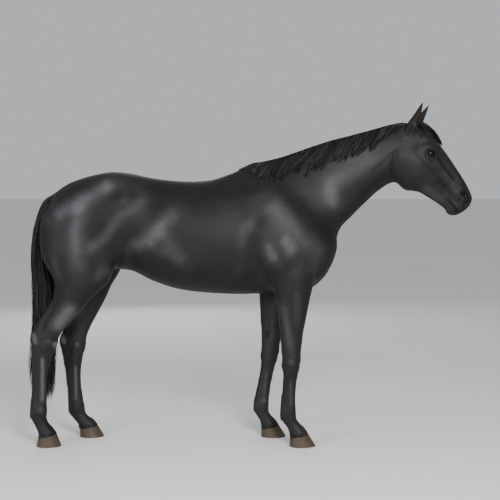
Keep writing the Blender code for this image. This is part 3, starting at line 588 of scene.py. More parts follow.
def legStrokes(name):  # bones, tendons and muscles: path, radius, lift
    def path(*spots):
        points = [legPoint(name, *spot) for spot in spots]
        return points if len(points) > 1 else points * 2

    if legKind(name) == "fore":
        knee, foot = 2.0, 3.0
        marks = [
            (path((1.97, -0.054), (2.08, -0.052)), 0.022, 0.007),  # the bone behind the knee
            (path((2.16, -0.050), (2.24, -0.048)), 0.020, -0.004),
            (path((1.90, 0.054, 0.0), (1.93, 0.054, 0.0)), 0.028, 0.003),
            (path((2.06, 0.050, 0.0), (2.08, 0.050, 0.0)), 0.026, 0.003),
            (path((1.995, 0.054, -0.03), (1.995, 0.054, 0.03)), 0.010, -0.002),
            (path((1.12, 0.060, 0.030), (1.50, 0.052, 0.030)), 0.050, 0.006),  # the forearm's muscle in front
            (path((1.10, -0.070, 0.020), (1.40, -0.060, 0.020)), 0.050, 0.005),
            (path((1.20, 0.020, -0.060), (1.45, 0.015, -0.052)), 0.045, 0.005),
        ]
        for out in (-0.042, 0.042):
            marks += [
                (path((1.15, -0.006, out * 1.6), (1.50, -0.010, out * 1.2), (1.85, -0.016, out)), 0.020, -0.005),
                (path((1.90, 0.016, out)), 0.024, 0.003),
                (path((2.08, 0.010, out)), 0.022, 0.003),
                (path((2.00, 0.0, out)), 0.010, -0.0015),
            ]
    else:
        knee, foot = 3.0, 4.0
        marks = [
            (path((2.93, -0.088), (3.02, -0.084)), 0.030, 0.010),  # the point of the hock
            (path((3.10, -0.074), (3.24, -0.060)), 0.020, -0.003),
            (path((2.96, 0.066), (3.06, 0.064)), 0.030, 0.005),
            (path((2.05, 0.050, 0.050), (2.40, 0.040, 0.045)), 0.055, 0.006),  # the gaskin's muscle
            (path((2.05, 0.040, -0.050), (2.45, 0.030, -0.045)), 0.055, 0.006),
        ]
        for out in (-0.042, 0.042):
            marks += [
                (path((2.35, -0.048, out * 1.1), (2.60, -0.050, out), (2.86, -0.046, out)), 0.032, -0.012),
                (path((3.00, 0.024, out), (3.10, 0.010, out)), 0.026, 0.004),
                (path((3.02, -0.022, out), (3.16, -0.018, out)), 0.014, -0.0025),
                (path((2.96, 0.000, out)), 0.018, -0.002),
            ]
    low = foot - 0.14
    for out in (-0.032, 0.032):
        marks += [
            (path((knee + 0.26, -0.006, out), (low, -0.010, out)), 0.014, -0.0042),  # before the tendons
            (path((knee + 0.30, -0.026, out), (low, -0.030, out)), 0.009, -0.0016),
            (path((foot - 0.02, -0.038, out * 0.8), (foot + 0.06, -0.040, out * 0.7)), 0.020, 0.004),
            (path((foot + 0.02, 0.004, out * 1.2)), 0.020, 0.002),
            (path((foot + 0.92, -0.050, out * 0.7)), 0.026, 0.008),  # the bulbs of the heel
        ]
    marks += [
        (path((foot + 0.22, -0.046), (foot + 0.55, -0.042)), 0.026, -0.007),
        (path((foot + 0.06, -0.052), (foot + 0.09, -0.052)), 0.012, 0.003),  # the ergot
        (path((foot + 0.80, 0.044, -0.02), (foot + 0.80, 0.044, 0.02)), 0.020, 0.002),
    ]
    return marks


regions = {  # circles in the side view: middle, radius, and least distance from the middle plane
    "eyes": ((1.04, 1.70), 0.062, 0.05), "lids": ((1.04, 1.697), 0.040, 0.06),
    "eyeballs": ((1.04, 1.697), 0.032, 0.05), "nostrils": ((1.25, 1.45), 0.036, 0.015),
}


def inCircle(points, name):
    (x, z), radius, apart = regions[name]
    return (np.hypot(points[:, 0] - x, points[:, 2] - z) < radius) & (np.abs(points[:, 1]) > apart)


def inHead(points):
    return (points[:, 0] > 0.80) & (points[:, 2] > 1.30)


def inLegs(points):
    return points[:, 2] < 0.72


def inFace(points):
    muzzle = (points[:, 0] > 1.135) & (points[:, 2] < 1.52)
    return (muzzle | inCircle(points, "eyes")) & (points[:, 2] > 1.3)


def inEars(points):
    x, y, z = points.T
    return (z > 1.79) & (x > 0.89) & (x < 1.08) & (np.abs(y) > 0.014)


# Eyes and lids

eye = {
    "centre": (1.040, 0.0770, 1.697), "radius": 0.0262, "gaze": (0.30, 0.95, 0.02), "slant": (0.93, 0.0, -0.30),
    "halfLength": 0.0230, "above": 0.0150, "below": 0.0126,
    "lid": 0.0032,  # how far the lids stand off the ball
    "blend": (1.15, 2.1),  # where the lids give way to the face, as shares of the opening
}


class EyeFrame:  # the opening's own axes: along it, up across it, and out of the head

    def __init__(self, side):
        x, y, z = eye["centre"]
        self.centre = np.array((x, side * y, z))
        out = Vector(eye["gaze"])
        out.y *= side
        out.normalize()
        length = Vector(eye["slant"])
        length = (length - out * length.dot(out)).normalized()
        up = out.cross(length)
        if up.z < 0:
            up.negate()
        self.out, self.length, self.up = (np.array(v) for v in (out, length, up))

    def opening(self, angle):  # how far the opening reaches at an angle
        across = np.where(np.sin(angle) > 0, eye["above"], eye["below"])
        c, s = np.abs(np.cos(angle)) / eye["halfLength"], np.abs(np.sin(angle)) / across
        return (c**1.6 + s**1.6) ** (-1 / 1.6)

    def flat(self, points):
        away = points - self.centre
        a, b = away @ self.length, away @ self.up
        return a, b, away @ self.out

    def onBall(self, share, angle, lift):  # a point over the ball, at a share of the opening
        reach = self.opening(angle) * share
        ball = eye["radius"] + lift
        a, b = reach * np.cos(angle), reach * np.sin(angle)
        height = np.sqrt(np.maximum(ball**2 - a**2 - b**2, (0.42 * ball) ** 2))
        return self.centre + np.outer(a, self.length) + np.outer(b, self.up) + np.outer(height, self.out)

    def path(self, share, start, end, lift):
        angles = np.linspace(math.radians(start), math.radians(end), 13)
        return self.onBall(share, angles, lift)


def wrapLids(clay, lids):
    a, b, c = lids.flat(clay.points)
    angle = np.arctan2(b, a)
    share = np.hypot(a, b) / lids.opening(angle)
    near = (c > 0) & (share < eye["blend"][1]) & (c < 0.06)
    t = np.clip((eye["blend"][1] - share) / (eye["blend"][1] - eye["blend"][0]), 0, 1)
    weight = np.where(near, t * t * (3 - 2 * t), 0)[:, None]
    ball = lids.onBall(share, angle, eye["lid"])
    clay.points += (ball - clay.points) * weight
    away = clay.points - lids.centre
    length = np.linalg.norm(away, axis=1)
    least = np.where(c > -0.004, eye["radius"] + 0.0034, 0)  # nothing of the ball comes through the face
    clay.points = lids.centre + away * (np.maximum(length, least) / length)[:, None]


def openLids(obj, lids):
    bm = bmesh.new()
    bm.from_mesh(obj.data)
    centres = np.array([f.calc_center_median() for f in bm.faces])
    a, b, c = lids.flat(centres)
    share = np.hypot(a, b) / lids.opening(np.arctan2(b, a))
    bm.faces.ensure_lookup_table()
    gone = [bm.faces[i] for i in np.flatnonzero((share < 1.0) & (c > 0) & (c < 0.05))]
    bmesh.ops.delete(bm, geom=gone, context="FACES")
    rim = [e for e in bm.edges if e.is_boundary]
    turns = {}
    for v in {v for e in rim for v in e.verts}:
        a, b, _ = lids.flat(np.array(v.co))
        angle = math.atan2(b, a)
        v.co = lids.onBall(np.array([1.0]), np.array([angle]), eye["lid"])[0]
        turns[tuple(v.co)] = angle
    for share, lift in ((0.985, 0.0016), (0.97, 0.0006), (1.06, 0.0004), (1.22, 0.0002)):
        drawn = bmesh.ops.extrude_edge_only(bm, edges=rim)["geom"]
        rim = [g for g in drawn if isinstance(g, bmesh.types.BMEdge)]
        for v in [g for g in drawn if isinstance(g, bmesh.types.BMVert)]:
            angle = turns[tuple(v.co)]
            v.co = lids.onBall(np.array([share]), np.array([angle]), lift)[0]
            turns[tuple(v.co)] = angle
    bm.to_mesh(obj.data)
    bm.free()


# Ears

ears = {
    "ear_right": {"base": (0.936, -0.050, 1.846), "tip": (0.996, -0.082, 1.993), "open": (0.62, -0.78, 0.0)},
    "ear_left": {"base": (0.962, 0.050, 1.838), "tip": (1.054, 0.078, 1.985), "open": (0.85, 0.50, 0.0)},
}
earForm = {
    "hole": 0.031,
    "wall": 0.0050,
    "rows": [  # place along the ear, radius, how far round the wall goes to each side in degrees
        (0.00, 0.0310, 172), (0.05, 0.0345, 166), (0.10, 0.0350, 156), (0.17, 0.0335, 144), (0.25, 0.0305, 133),
        (0.33, 0.0265, 126), (0.42, 0.0238, 121), (0.51, 0.0212, 117), (0.60, 0.0184, 114), (0.69, 0.0154, 111),
        (0.77, 0.0124, 108), (0.84, 0.0094, 105), (0.90, 0.0066, 102), (0.95, 0.0040, 100), (0.98, 0.0024, 98),
        (0.996, 0.0012, 96),
    ],
}


def earAxes(name):  # its base and height, the way up it, the way out of its opening and the way across
    ear = ears[name]
    base, tip = Vector(ear["base"]), Vector(ear["tip"])
    way = (tip - base).normalized()
    ahead = Vector(ear["open"])
    ahead = (ahead - way * ahead.dot(way)).normalized()
    return base, (tip - base).length, way, ahead, way.cross(ahead)


def growEar(bm, name):  # draws a rolled leaf out of a round hole in the head
    base, height, way, ahead, across = earAxes(name)

    def beside(point):
        away = point - base
        return (away - way * away.dot(way)).length, away.dot(way)

    gone = []
    for f in bm.faces:
        wide, up = beside(f.calc_center_median())
        if wide < earForm["hole"] and abs(up) < 0.06 and f.normal.dot(way) > 0:
            gone.append(f)
    bmesh.ops.delete(bm, geom=gone, context="FACES")
    rim = [e for e in bm.edges if e.is_boundary]
    turns = {}
    for v in {v for e in rim for v in e.verts}:
        away = v.co - base
        angle = math.atan2(away.dot(across), -away.dot(ahead))
        level = away.dot(way)
        v.co = base + way * level + (across * math.sin(angle) - ahead * math.cos(angle)) * earForm["hole"]
        turns[tuple(v.co)] = (angle, level)
    for place, radius, reach in earForm["rows"][1:]:
        drawn = bmesh.ops.extrude_edge_only(bm, edges=rim)["geom"]
        rim = [g for g in drawn if isinstance(g, bmesh.types.BMEdge)]
        opened = min(place / 0.17, 1.0)
        settle = min(place / 0.20, 1.0)
        inner = max(radius - earForm["wall"] * (1 - 0.45 * place), radius * 0.45)
        for v in [g for g in drawn if isinstance(g, bmesh.types.BMVert)]:
            angle, level = turns[tuple(v.co)]
            share = angle / math.pi
            closed = across * math.sin(angle) - ahead * math.cos(angle)
            if abs(share) <= 0.5:
                turn, far = share / 0.5 * math.radians(reach), radius
            else:
                turn, far = math.copysign((1 - abs(share)) / 0.5 * math.radians(reach) * 0.97, share), inner
            rolled = (across * math.sin(turn) - ahead * math.cos(turn)) * far
            spot = closed * radius * (1 - opened) + rolled * opened
            rise = (level + place * height * 0.6) * (1 - settle) + place * height * settle
            lean = ahead * -0.003 * math.sin(math.pi * place)
            v.co = base + way * rise + spot - lean
            turns[tuple(v.co)] = (angle, level)
    bmesh.ops.holes_fill(bm, edges=rim, sides=0)


def growEars(obj):
    bm = bmesh.new()
    bm.from_mesh(obj.data)
    for name in ears:
        bm.normal_update()
        growEar(bm, name)
    bmesh.ops.recalc_face_normals(bm, faces=bm.faces)
    bm.to_mesh(obj.data)
    bm.free()


# The skin is cut off level inside each hoof

hoof = {"tilt": 15.0, "topHalf": 0.053, "soleHalf": 0.066, "bevel": 0.003, "ahead": 0.046, "behind": 0.058}


def trimFeet(obj):
    bm = bmesh.new()
    bm.from_mesh(obj.data)
    lean = math.radians(hoof["tilt"])
    down = Vector((math.sin(lean), 0, -math.cos(lean)))
    for name in legNames:
        leg = legs[name]
        x, z = leg["joints"][-2]
        top = Vector((x, leg["side"] * stance, z)) + down * 0.006
        near = [v for v in bm.verts if (v.co - top).length < 0.13]
        chosen = set(near)
        geom = near + [e for e in bm.edges if all(v in chosen for v in e.verts)]
        geom += [f for f in bm.faces if all(v in chosen for v in f.verts)]
        cut = bmesh.ops.bisect_plane(bm, geom=geom, plane_co=top, plane_no=down, clear_outer=True)["geom_cut"]
        bmesh.ops.holes_fill(bm, edges=[g for g in cut if isinstance(g, bmesh.types.BMEdge)], sides=0)
    bm.to_mesh(obj.data)
    bm.free()


def buildSkin(finish):
    bm = bmesh.new()
    for rows in (trunk, neck, head, dock, *[legRings(name) for name in legNames]):
        drawLoft(bm, rows, skin["ringPoints"], 4)
    bmesh.ops.recalc_face_normals(bm, faces=bm.faces)
    body = newPiece("skin", bm, finish)
    weld = body.modifiers.new("weld", "REMESH")
    weld.mode = "VOXEL"
    weld.voxel_size = skin["voxel"]
    applied(body)
    clay = Clay(body)
    clay.smooth(2)
    clay.fillCreases(14)
    clay.smooth(3)
    clay.strokes(skin["coarse"].values())
    clay.smooth(1)
    clay.write()
    print("body welded:", len(clay.points), "points")
    refine(body, lambda points: inHead(points) | inLegs(points))
    growEars(body)
    clay = Clay(body)
    clay.smooth(3, 0.5, inEars(clay.points) * np.clip((1.88 - clay.points[:, 2]) / 0.03, 0, 1))
    clay.strokes(skin["medium"].values())
    for name in legNames:
        for path, radius, lift in legStrokes(name):
            clay.stroke(path, radius, lift)
    clay.smooth(1, 0.4)
    clay.write()
    refine(body, lambda points: inFace(points) | inEars(points))
    refine(body, lambda points: inCircle(points, "lids"))
    clay = Clay(body)
    clay.strokes(skin["fine"].values())
    for side in (-1, 1):
        lids = EyeFrame(side)
        wrapLids(clay, lids)
        clay.stroke(lids.path(1.10, 0, 360, eye["lid"]), 0.0035, 0.0008)
        clay.stroke(lids.path(1.42, 15, 165, eye["lid"]), 0.0045, -0.0022)
        clay.stroke(lids.path(1.50, 200, 340, eye["lid"]), 0.0045, -0.0014)
    clay.smooth(1, 0.3)
    x, _, z = clay.points.T
    onHead = np.clip((x - 0.86) / 0.08, 0, 1) * (z > 1.3)
    onLegs = np.clip((1.0 - z) / 0.15, 0, 1)
    lift = skin["lift"]["body"] + (skin["lift"]["legs"] - skin["lift"]["body"]) * onLegs
    onEars = inEars(clay.points) * np.clip((z - 1.832) / 0.020, 0, 1)
    lift = lift * (1 - onHead) + skin["lift"]["head"] * onHead - skin["coatDepth"] * (1 - 0.8 * onEars)
    clay.points += clay.normals() * lift[:, None]
    clay.write()
    for side in (-1, 1):
        openLids(body, EyeFrame(side))
    trimFeet(body)
    body.data.shade_smooth()
    return body


# Eyeballs


def buildEyeball(name, finish):
    lids = EyeFrame(1 if name == "eye_left" else -1)
    bm = bmesh.new()
    bmesh.ops.create_uvsphere(bm, u_segments=64, v_segments=40, radius=eye["radius"])
    turn = Matrix([lids.length, lids.up, lids.out]).transposed()  # the pole looks out of the head
    if turn.determinant() < 0:
        turn = Matrix([-lids.length, lids.up, lids.out]).transposed()
    for v in bm.verts:
        share = max(v.co.z / eye["radius"], 0.0)
        v.co *= 1 + 0.030 * max((share - 0.80) / 0.20, 0.0) ** 0.7 * share  # the cornea stands a little proud
        v.co.z -= 0.0004
    bmesh.ops.rotate(bm, cent=(0, 0, 0), matrix=turn, verts=bm.verts)
    bmesh.ops.translate(bm, vec=Vector(lids.centre), verts=bm.verts)
    ball = newPiece(name + "_ball", bm, finish)
    a, b, c = lids.flat(Clay(ball).points)
    setLayer(ball.data, "gaze", np.stack([a, b, c], 1))
    ball.data.shade_smooth()
    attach(ball, "root")
    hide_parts(name)
    return ball


# Hooves


def hoofRow(name, t, swell):  # t runs from the coronet at 0 to the sole at 1
    leg = legs[name]
    x, z = leg["joints"][-2]
    rise = math.tan(math.radians(hoof["tilt"]))
    front, back = x + hoof["ahead"], x - hoof["behind"]
    frontZ, backZ = z + (front - x) * rise, z + (back - x) * rise
    heel, toe = leg["sole"]
    upper = (front + (toe - front) * t + swell, frontZ * (1 - t))
    lower = (back + (heel - back) * t - swell, backZ * (1 - t))
    half = hoof["topHalf"] + (hoof["soleHalf"] - hoof["topHalf"]) * t + swell
    return ring(upper, lower, half, egg=-0.08, square=2.15, side=leg["side"] * stance)


def buildHoof(name, finish):
    rows = [hoofRow(name, 0.0, -0.006)]
    steps = 30
    for k in range(steps + 1):
        t = k / steps
        band = -0.0045 * math.exp(-t / 0.05)
        ridge = 0.00020 * math.sin(t * 47 + 2.5 * math.sin(t * 9)) * min(1, (1 - t) * 6)
        rows.append(hoofRow(name, t * 0.985, band + ridge - 0.0004))
    rows += [hoofRow(name, 1.0, -hoof["bevel"]), hoofRow(name, 1.0, -hoof["bevel"] - 0.012)]
    bm = bmesh.new()
    drawLoft(bm, rows, 56, 1)
    bmesh.ops.recalc_face_normals(bm, faces=bm.faces)
    made = newPiece(name + "_horn", bm, finish)
    clay = Clay(made)
    heel = legs[name]["sole"][0]
    y = legs[name]["side"] * stance
    top = legs[name]["joints"][-2][1]
    clay.stroke([(heel - 0.01, y, 0.01), (heel - 0.005, y, top)], 0.020, -0.007)
    clay.points[:, 2] = np.maximum(clay.points[:, 2], 0)
    clay.write()
    setLayer(made.data, "down", np.array([v.co.z for v in made.data.vertices]) / (top + 0.02))
    made.data.shade_smooth()
    made.data.set_sharp_from_angle(angle=math.radians(50))
    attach(made, "root")
    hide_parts(name + "_hoof")
    return made


# Finishes

coat = {
    # the lighter stops are reached only where painted highlights raise the tone
    "tones": [(0.0, (0.0022, 0.0022, 0.0025)), (0.30, (0.0068, 0.0068, 0.0075)), (0.55, (0.024, 0.024, 0.026)),
              (1.0, (0.114, 0.115, 0.119))],
    "warm": (0.045, 0.029, 0.024),  # the skin inside the ears
    "strand": 330.0, "stretch": 9.0, "depth": 0.0006, "specular": 0.20,
    "streak": 0.34, "patch": 0.16, "rough": 0.44, "roughStreak": 0.24,
}
longTones = [(0.26, (0.0014, 0.0014, 0.0014)), (0.60, (0.0085, 0.0077, 0.0071)), (0.98, (0.046, 0.039, 0.034))]
fineTones = [(0.25, (0.0030, 0.0028, 0.0028)), (0.90, (0.012, 0.010, 0.009))]
hornTones = [(0.0, (0.006, 0.0052, 0.0044)), (0.06, (0.030, 0.021, 0.013)), (0.16, (0.054, 0.038, 0.023)),
             (0.36, (0.078, 0.056, 0.035))]
eyeLook = {
    "iris": (0.0165, 0.0145), "pupil": (0.0085, 0.0048),  # half length and half height of the ellipses
    "browns": [(0.3, (0.0030, 0.0014, 0.0006)), (0.75, (0.011, 0.0042, 0.0015))],
    "white": (0.004, 0.003, 0.0026, 1), "hole": (0.0012, 0.0012, 0.0016, 1),
}
grains = {"Level": 0, "Upright": 90, "Forward": -53, "Aslant": 45}  # the turn of each grain in the side view


def hairGrain():  # fine streaks that follow the lie of the coat
    group = bpy.data.node_groups.new("hair_grain", "ShaderNodeTree")
    for name, kind in (("Across", "NodeSocketFloat"), ("Stretch", "NodeSocketFloat"), ("Lie", "NodeSocketVector")):
        group.interface.new_socket(name, in_out="INPUT", socket_type=kind)
    for name in ("Streak", "Patch"):
        group.interface.new_socket(name, in_out="OUTPUT", socket_type="NodeSocketFloat")
    given = group.nodes.new("NodeGroupInput").outputs
    place = addNode(group, "TexCoord").outputs["Object"]
    slow = mixed(group, "DIVIDE", given["Across"], given["Stretch"])
    size = addNode(group, "CombineXYZ", {"X": slow, "Y": given["Across"], "Z": given["Across"]}).outputs[0]
    shares = addNode(group, "SeparateXYZ", {0: given["Lie"]}).outputs
    streak = None
    for index, turn in enumerate(grains.values()):
        turned = addNode(group, "VectorRotate", {"Vector": place, "Angle": math.radians(turn)}, rotation_type="Y_AXIS")
        spot = addNode(group, "VectorMath", {0: turned.outputs[0], 1: size}, operation="MULTIPLY").outputs[0]
        found = noise(group, spot, 1.0, 2.0)
        if index:
            mix = addNode(group, "Mix", {"Factor": shares[index - 1], "A": streak, "B": found}, data_type="FLOAT")
            found = mix.outputs[0]
        streak = found
    out = group.nodes.new("NodeGroupOutput")
    group.links.new(streak, out.inputs["Streak"])
    group.links.new(noise(group, place, 5.0, 2.0), out.inputs["Patch"])
    return group


grain = hairGrain()


def coatFinish():
    made, tree, shader = startMaterial("black_coat")
    hair = tree.nodes.new("ShaderNodeGroup")
    hair.node_tree = grain
    feed(tree, hair, {"Across": coat["strand"], "Stretch": coat["stretch"], "Lie": layerOf(tree, "lie", "Vector")})
    streak = mixed(tree, "MULTIPLY", mixed(tree, "SUBTRACT", hair.outputs["Streak"], 0.5), coat["streak"])
    patch = mixed(tree, "MULTIPLY", mixed(tree, "SUBTRACT", hair.outputs["Patch"], 0.5), coat["patch"])
    # the tone holds the painted highlights and painted shade, with grain and random patches added
    level = mixed(tree, "ADD", mixed(tree, "ADD", layerOf(tree, "toneAndPaintedLight"), streak), patch)
    colours = {"Factor": layerOf(tree, "warm"), "A": ramp(tree, level, coat["tones"]), "B": (*coat["warm"], 1)}
    rough = mixed(tree, "MULTIPLY", hair.outputs["Streak"], coat["roughStreak"])
    bump = addNode(tree, "Bump", {"Height": hair.outputs["Streak"], "Strength": 0.5, "Distance": coat["depth"]})
    feed(tree, shader, {
        "Base Color": addNode(tree, "Mix", colours, data_type="RGBA").outputs["Result"],
        "Roughness": mixed(tree, "ADD", rough, coat["rough"]), "Normal": bump.outputs["Normal"],
        "Specular IOR Level": coat["specular"],
    })
    return made


def hairFinish(name, stops, gloss):
    made, tree, shader = startMaterial(name)
    strand = addNode(tree, "UVMap", uv_map="strand").outputs["UV"]
    streak = noise(tree, scaled(tree, strand, (9.0, 7.0, 1.0)), 1.0, 3.0)
    tint = mixed(tree, "MULTIPLY", layerOf(tree, "tint"), 0.85)
    level = mixed(tree, "ADD", mixed(tree, "MULTIPLY", streak, 0.5), tint)
    bump = addNode(tree, "Bump", {"Height": streak, "Strength": 0.6, "Distance": 0.0012})
    feed(tree, shader, {
        "Base Color": ramp(tree, level, stops), "Normal": bump.outputs["Normal"],
        "Roughness": mixed(tree, "ADD", mixed(tree, "MULTIPLY", streak, 0.2), gloss),
        "Specular IOR Level": 0.26,
    })
    return made


def hornFinish():
    made, tree, shader = startMaterial("hoof_horn")
    place = addNode(tree, "TexCoord").outputs["Object"]
    down = layerOf(tree, "down")
    fibre = noise(tree, scaled(tree, place, (520.0, 520.0, 16.0)), 1.0, 2.0)
    band = noise(tree, scaled(tree, place, (16.0, 16.0, 190.0)), 1.0, 2.0)
    level = mixed(tree, "ADD", mixed(tree, "MULTIPLY", band, 0.24), mixed(tree, "MULTIPLY", fibre, 0.16))
    level = mixed(tree, "SUBTRACT", level, mixed(tree, "MULTIPLY", down, 0.10))
    rough = mixed(tree, "ADD", mixed(tree, "MULTIPLY", fibre, 0.2), 0.40)
    bump = addNode(tree, "Bump", {"Height": level, "Strength": 0.5, "Distance": 0.0008})
    feed(tree, shader, {
        "Base Color": ramp(tree, level, hornTones), "Normal": bump.outputs["Normal"],
        "Roughness": mixed(tree, "ADD", mixed(tree, "MULTIPLY", down, 0.12), rough), "Specular IOR Level": 0.3,
    })
    return made


def eyeFinish():
    made, tree, shader = startMaterial("wet_eye")
    gaze = layerOf(tree, "gaze", "Vector")

    def within(name, start, end):  # 1 inside an ellipse about the gaze, 0 outside it
        half, high = eyeLook[name]
        flat = addNode(tree, "VectorMath", {0: gaze, 1: (1 / half, 1 / high, 0.0)}, operation="MULTIPLY").outputs[0]
        reach = addNode(tree, "VectorMath", {0: flat}, operation="LENGTH").outputs["Value"]
        return ramp(tree, reach, [(start, (1, 1, 1)), (end, (0, 0, 0))])

    brown = ramp(tree, noise(tree, gaze, 420.0, 3.0), eyeLook["browns"])
    outer = {"Factor": within("iris", 0.86, 1.0), "A": eyeLook["white"], "B": brown}
    inner = {"Factor": within("pupil", 0.92, 1.05), "B": eyeLook["hole"]}
    inner["A"] = addNode(tree, "Mix", outer, data_type="RGBA").outputs["Result"]
    feed(tree, shader, {
        "Base Color": addNode(tree, "Mix", inner, data_type="RGBA").outputs["Result"],
        "Roughness": 0.2, "Specular IOR Level": 0.1, "Coat Weight": 0.25, "Coat Roughness": 0.02,
    })
    return made


# Painted highlights and painted shade on the coat, and how its hair lies

paintedLightAndShade = {
    # the coat's own base tone; painted shade under the belly and on the top of the back; lighter lower legs; lighter
    # inner sides of the legs, partly painted light on their shaded sides
    "base": 0.31, "belly": 0.05, "back": 0.02, "legs": 0.03, "inner": 0.05,
    "places": {  # painted highlights where the change is above 0; painted shade in creases, hollows, the nostrils and between the highlights where it is below 0; and the darker skin of the muzzle and round the eye: path, radius, change of tone
        "shoulder": ([(0.08, 1.45), (0.17, 1.340), (0.285, 1.21), (0.385, 1.140)], 0.104, 0.29),
        "shoulder below": ([(0.165, 1.24), (0.217, 1.160), (0.257, 1.100)], 0.066, 0.36),
        "triceps": ([(0.095, 1.218), (0.118, 1.135), (0.160, 1.070)], 0.060, 0.35),
        "before the shoulder": ([(0.295, 1.48), (0.39, 1.38), (0.468, 1.27)], 0.075, -0.14),
        "behind the blade": ([(0.01, 1.21), (0.02, 1.12)], 0.050, -0.10),
        "barrel": ([(0.03, 1.33), (-0.035, 1.270), (-0.048, 1.15)], 0.050, 0.19),
        "side": ([(-0.38, 1.34), (-0.14, 1.23)], 0.150, -0.13),
        "loin": ([(-0.58, 1.50), (-0.86, 1.53)], 0.070, 0.15),
        "under the flank bands": ([(-0.54, 1.17), (-0.50, 1.14)], 0.060, 0.12),
        "breast side": ([(0.40, 1.14), (0.37, 1.05)], 0.065, 0.18),
        "beside the nose": ([(1.05, 1.66), (1.10, 1.61)], 0.035, 0.12),
        "girth": ([(-0.07, 1.08), (-0.075, 0.98)], 0.045, 0.09),
        "neck": ([(0.38, 1.47), (0.56, 1.60), (0.76, 1.735)], 0.131, 0.27),
        "neck below": ([(0.44, 1.39), (0.57, 1.42)], 0.070, 0.14),
        "flank above": ([(-0.39, 1.385), (-0.49, 1.30), (-0.573, 1.207), (-0.685, 1.155)], 0.073, 0.32),
        "flank below": ([(-0.50, 1.28), (-0.44, 1.155), (-0.355, 1.06)], 0.073, 0.24),
        "before the thigh": ([(-0.625, 1.30), (-0.68, 1.22)], 0.060, -0.10),
        "croup": ([(-0.76, 1.540), (-0.874, 1.47), (-1.005, 1.405), (-1.14, 1.32)], 0.082, 0.34),
        "haunch": ([(-0.94, 1.43), (-0.99, 1.26), (-0.985, 1.13), (-0.96, 1.00)], 0.080, 0.29),
        "haunch patch": ([(-1.01, 1.27), (-1.00, 1.17)], 0.090, 0.03),
        "thigh": ([(-0.59, 1.45), (-0.73, 1.34), (-0.82, 1.22), (-0.93, 1.14)], 0.052, 0.25),
        "between the bands": ([(-0.83, 1.40), (-0.86, 1.25)], 0.055, -0.08),
        "buttock": ([(-1.12, 1.12), (-1.085, 0.98)], 0.034, 0.16),
        "stifle": ([(-0.88, 0.98), (-0.848, 1.024), (-0.78, 1.024)], 0.042, 0.18),
        "gaskin": ([(-1.095, 0.72), (-1.03, 0.80)], 0.078, 0.42),
        "forearm": ([(0.19, 0.84), (0.239, 0.55)], 0.038, 0.24),
        "forearm before": ([(0.27, 0.92), (0.27, 0.72)], 0.035, 0.14),
        "knee": ([(0.235, 0.505), (0.243, 0.498)], 0.026, 0.26),
        "fore cannon": ([(0.235, 0.39), (0.238, 0.24)], 0.019, 0.24),
        "far forearm": ([(0.15, 0.86), (0.13, 0.56)], 0.040, 0.14),
        "far cannon": ([(0.10, 0.40), (0.085, 0.25)], 0.018, 0.20),
        "hind cannon": ([(-1.196, 0.53), (-1.202, 0.26)], 0.022, 0.40),
        "hind pastern": ([(-1.18, 0.15), (-1.15, 0.10)], 0.040, -0.12),
        "hock": ([(-1.246, 0.648), (-1.238, 0.615)], 0.028, 0.38),
        "far hind cannon": ([(-1.046, 0.44), (-1.046, 0.22)], 0.019, 0.32),
        "front of the hock": ([(-1.166, 0.622), (-1.150, 0.610)], 0.024, 0.14),
        "hind fetlock": ([(-1.212, 0.225), (-1.210, 0.212)], 0.022, 0.24),
        "far hock": ([(-1.122, 0.600), (-1.116, 0.578)], 0.028, 0.56),
        "front of the far hock": ([(-1.036, 0.566), (-1.030, 0.554)], 0.024, 0.24),
        "far fetlock": ([(0.086, 0.232), (0.088, 0.218)], 0.022, 0.26),
        "neck base": ([(0.43, 1.36), (0.455, 1.44), (0.48, 1.53)], 0.090, 0.27),
        "behind the ear": ([(0.880, 1.830), (0.905, 1.800)], 0.040, 0.12),
        "lip": ([(1.150, 1.375), (1.175, 1.350)], 0.024, 0.12),
        "cheek": ([(0.93, 1.715), (0.965, 1.67), (1.00, 1.62)], 0.065, 0.16),
        "jaw": ([(0.995, 1.515), (1.06, 1.46), (1.14, 1.41)], 0.045, 0.21),
        "bridge": ([(1.11, 1.605), (1.205, 1.49)], 0.034, 0.20),
        "muzzle": ([(1.23, 1.43), (1.26, 1.42)], 0.06, -0.05),
        "behind the jowl": ([(0.862, 1.73), (0.834, 1.665), (0.825, 1.60), (0.836, 1.548), (0.86, 1.514)],
                            0.024, -0.20),
        "throat": ([(0.70, 1.595), (0.79, 1.665), (0.87, 1.73)], 0.016, -0.16),
        "throat below": ([(0.51, 1.30), (0.64, 1.45), (0.72, 1.52), (0.81, 1.58)], 0.016, -0.14),
        "breast line": ([(0.375, 1.35), (0.443, 1.28), (0.468, 1.195)], 0.016, -0.12),
        "elbow": ([(0.03, 1.12), (0.069, 1.05), (0.098, 1.004), (0.125, 0.945)], 0.020, -0.22),
        "flank fold": ([(-0.705, 1.215), (-0.727, 1.15), (-0.737, 1.06)], 0.018, -0.18),
        "line of the nose": ([(1.095, 1.668), (1.14, 1.60), (1.192, 1.54)], 0.014, -0.20),
        "line of the cheek": ([(1.088, 1.548), (1.13, 1.50), (1.178, 1.442)], 0.014, -0.20),
        "eye": ([(1.026, 1.702), (1.058, 1.692)], 0.030, -0.22),
        "nostril": ([(1.24, 1.47), (1.262, 1.44), (1.245, 1.39)], 0.022, -0.16),
        "mouth": ([(1.158, 1.42), (1.182, 1.388), (1.226, 1.34)], 0.009, -0.20),
        "breast": ([(0.50, 1.34), (0.53, 1.20), (0.46, 1.00)], 0.05, 0.03),
    },
}
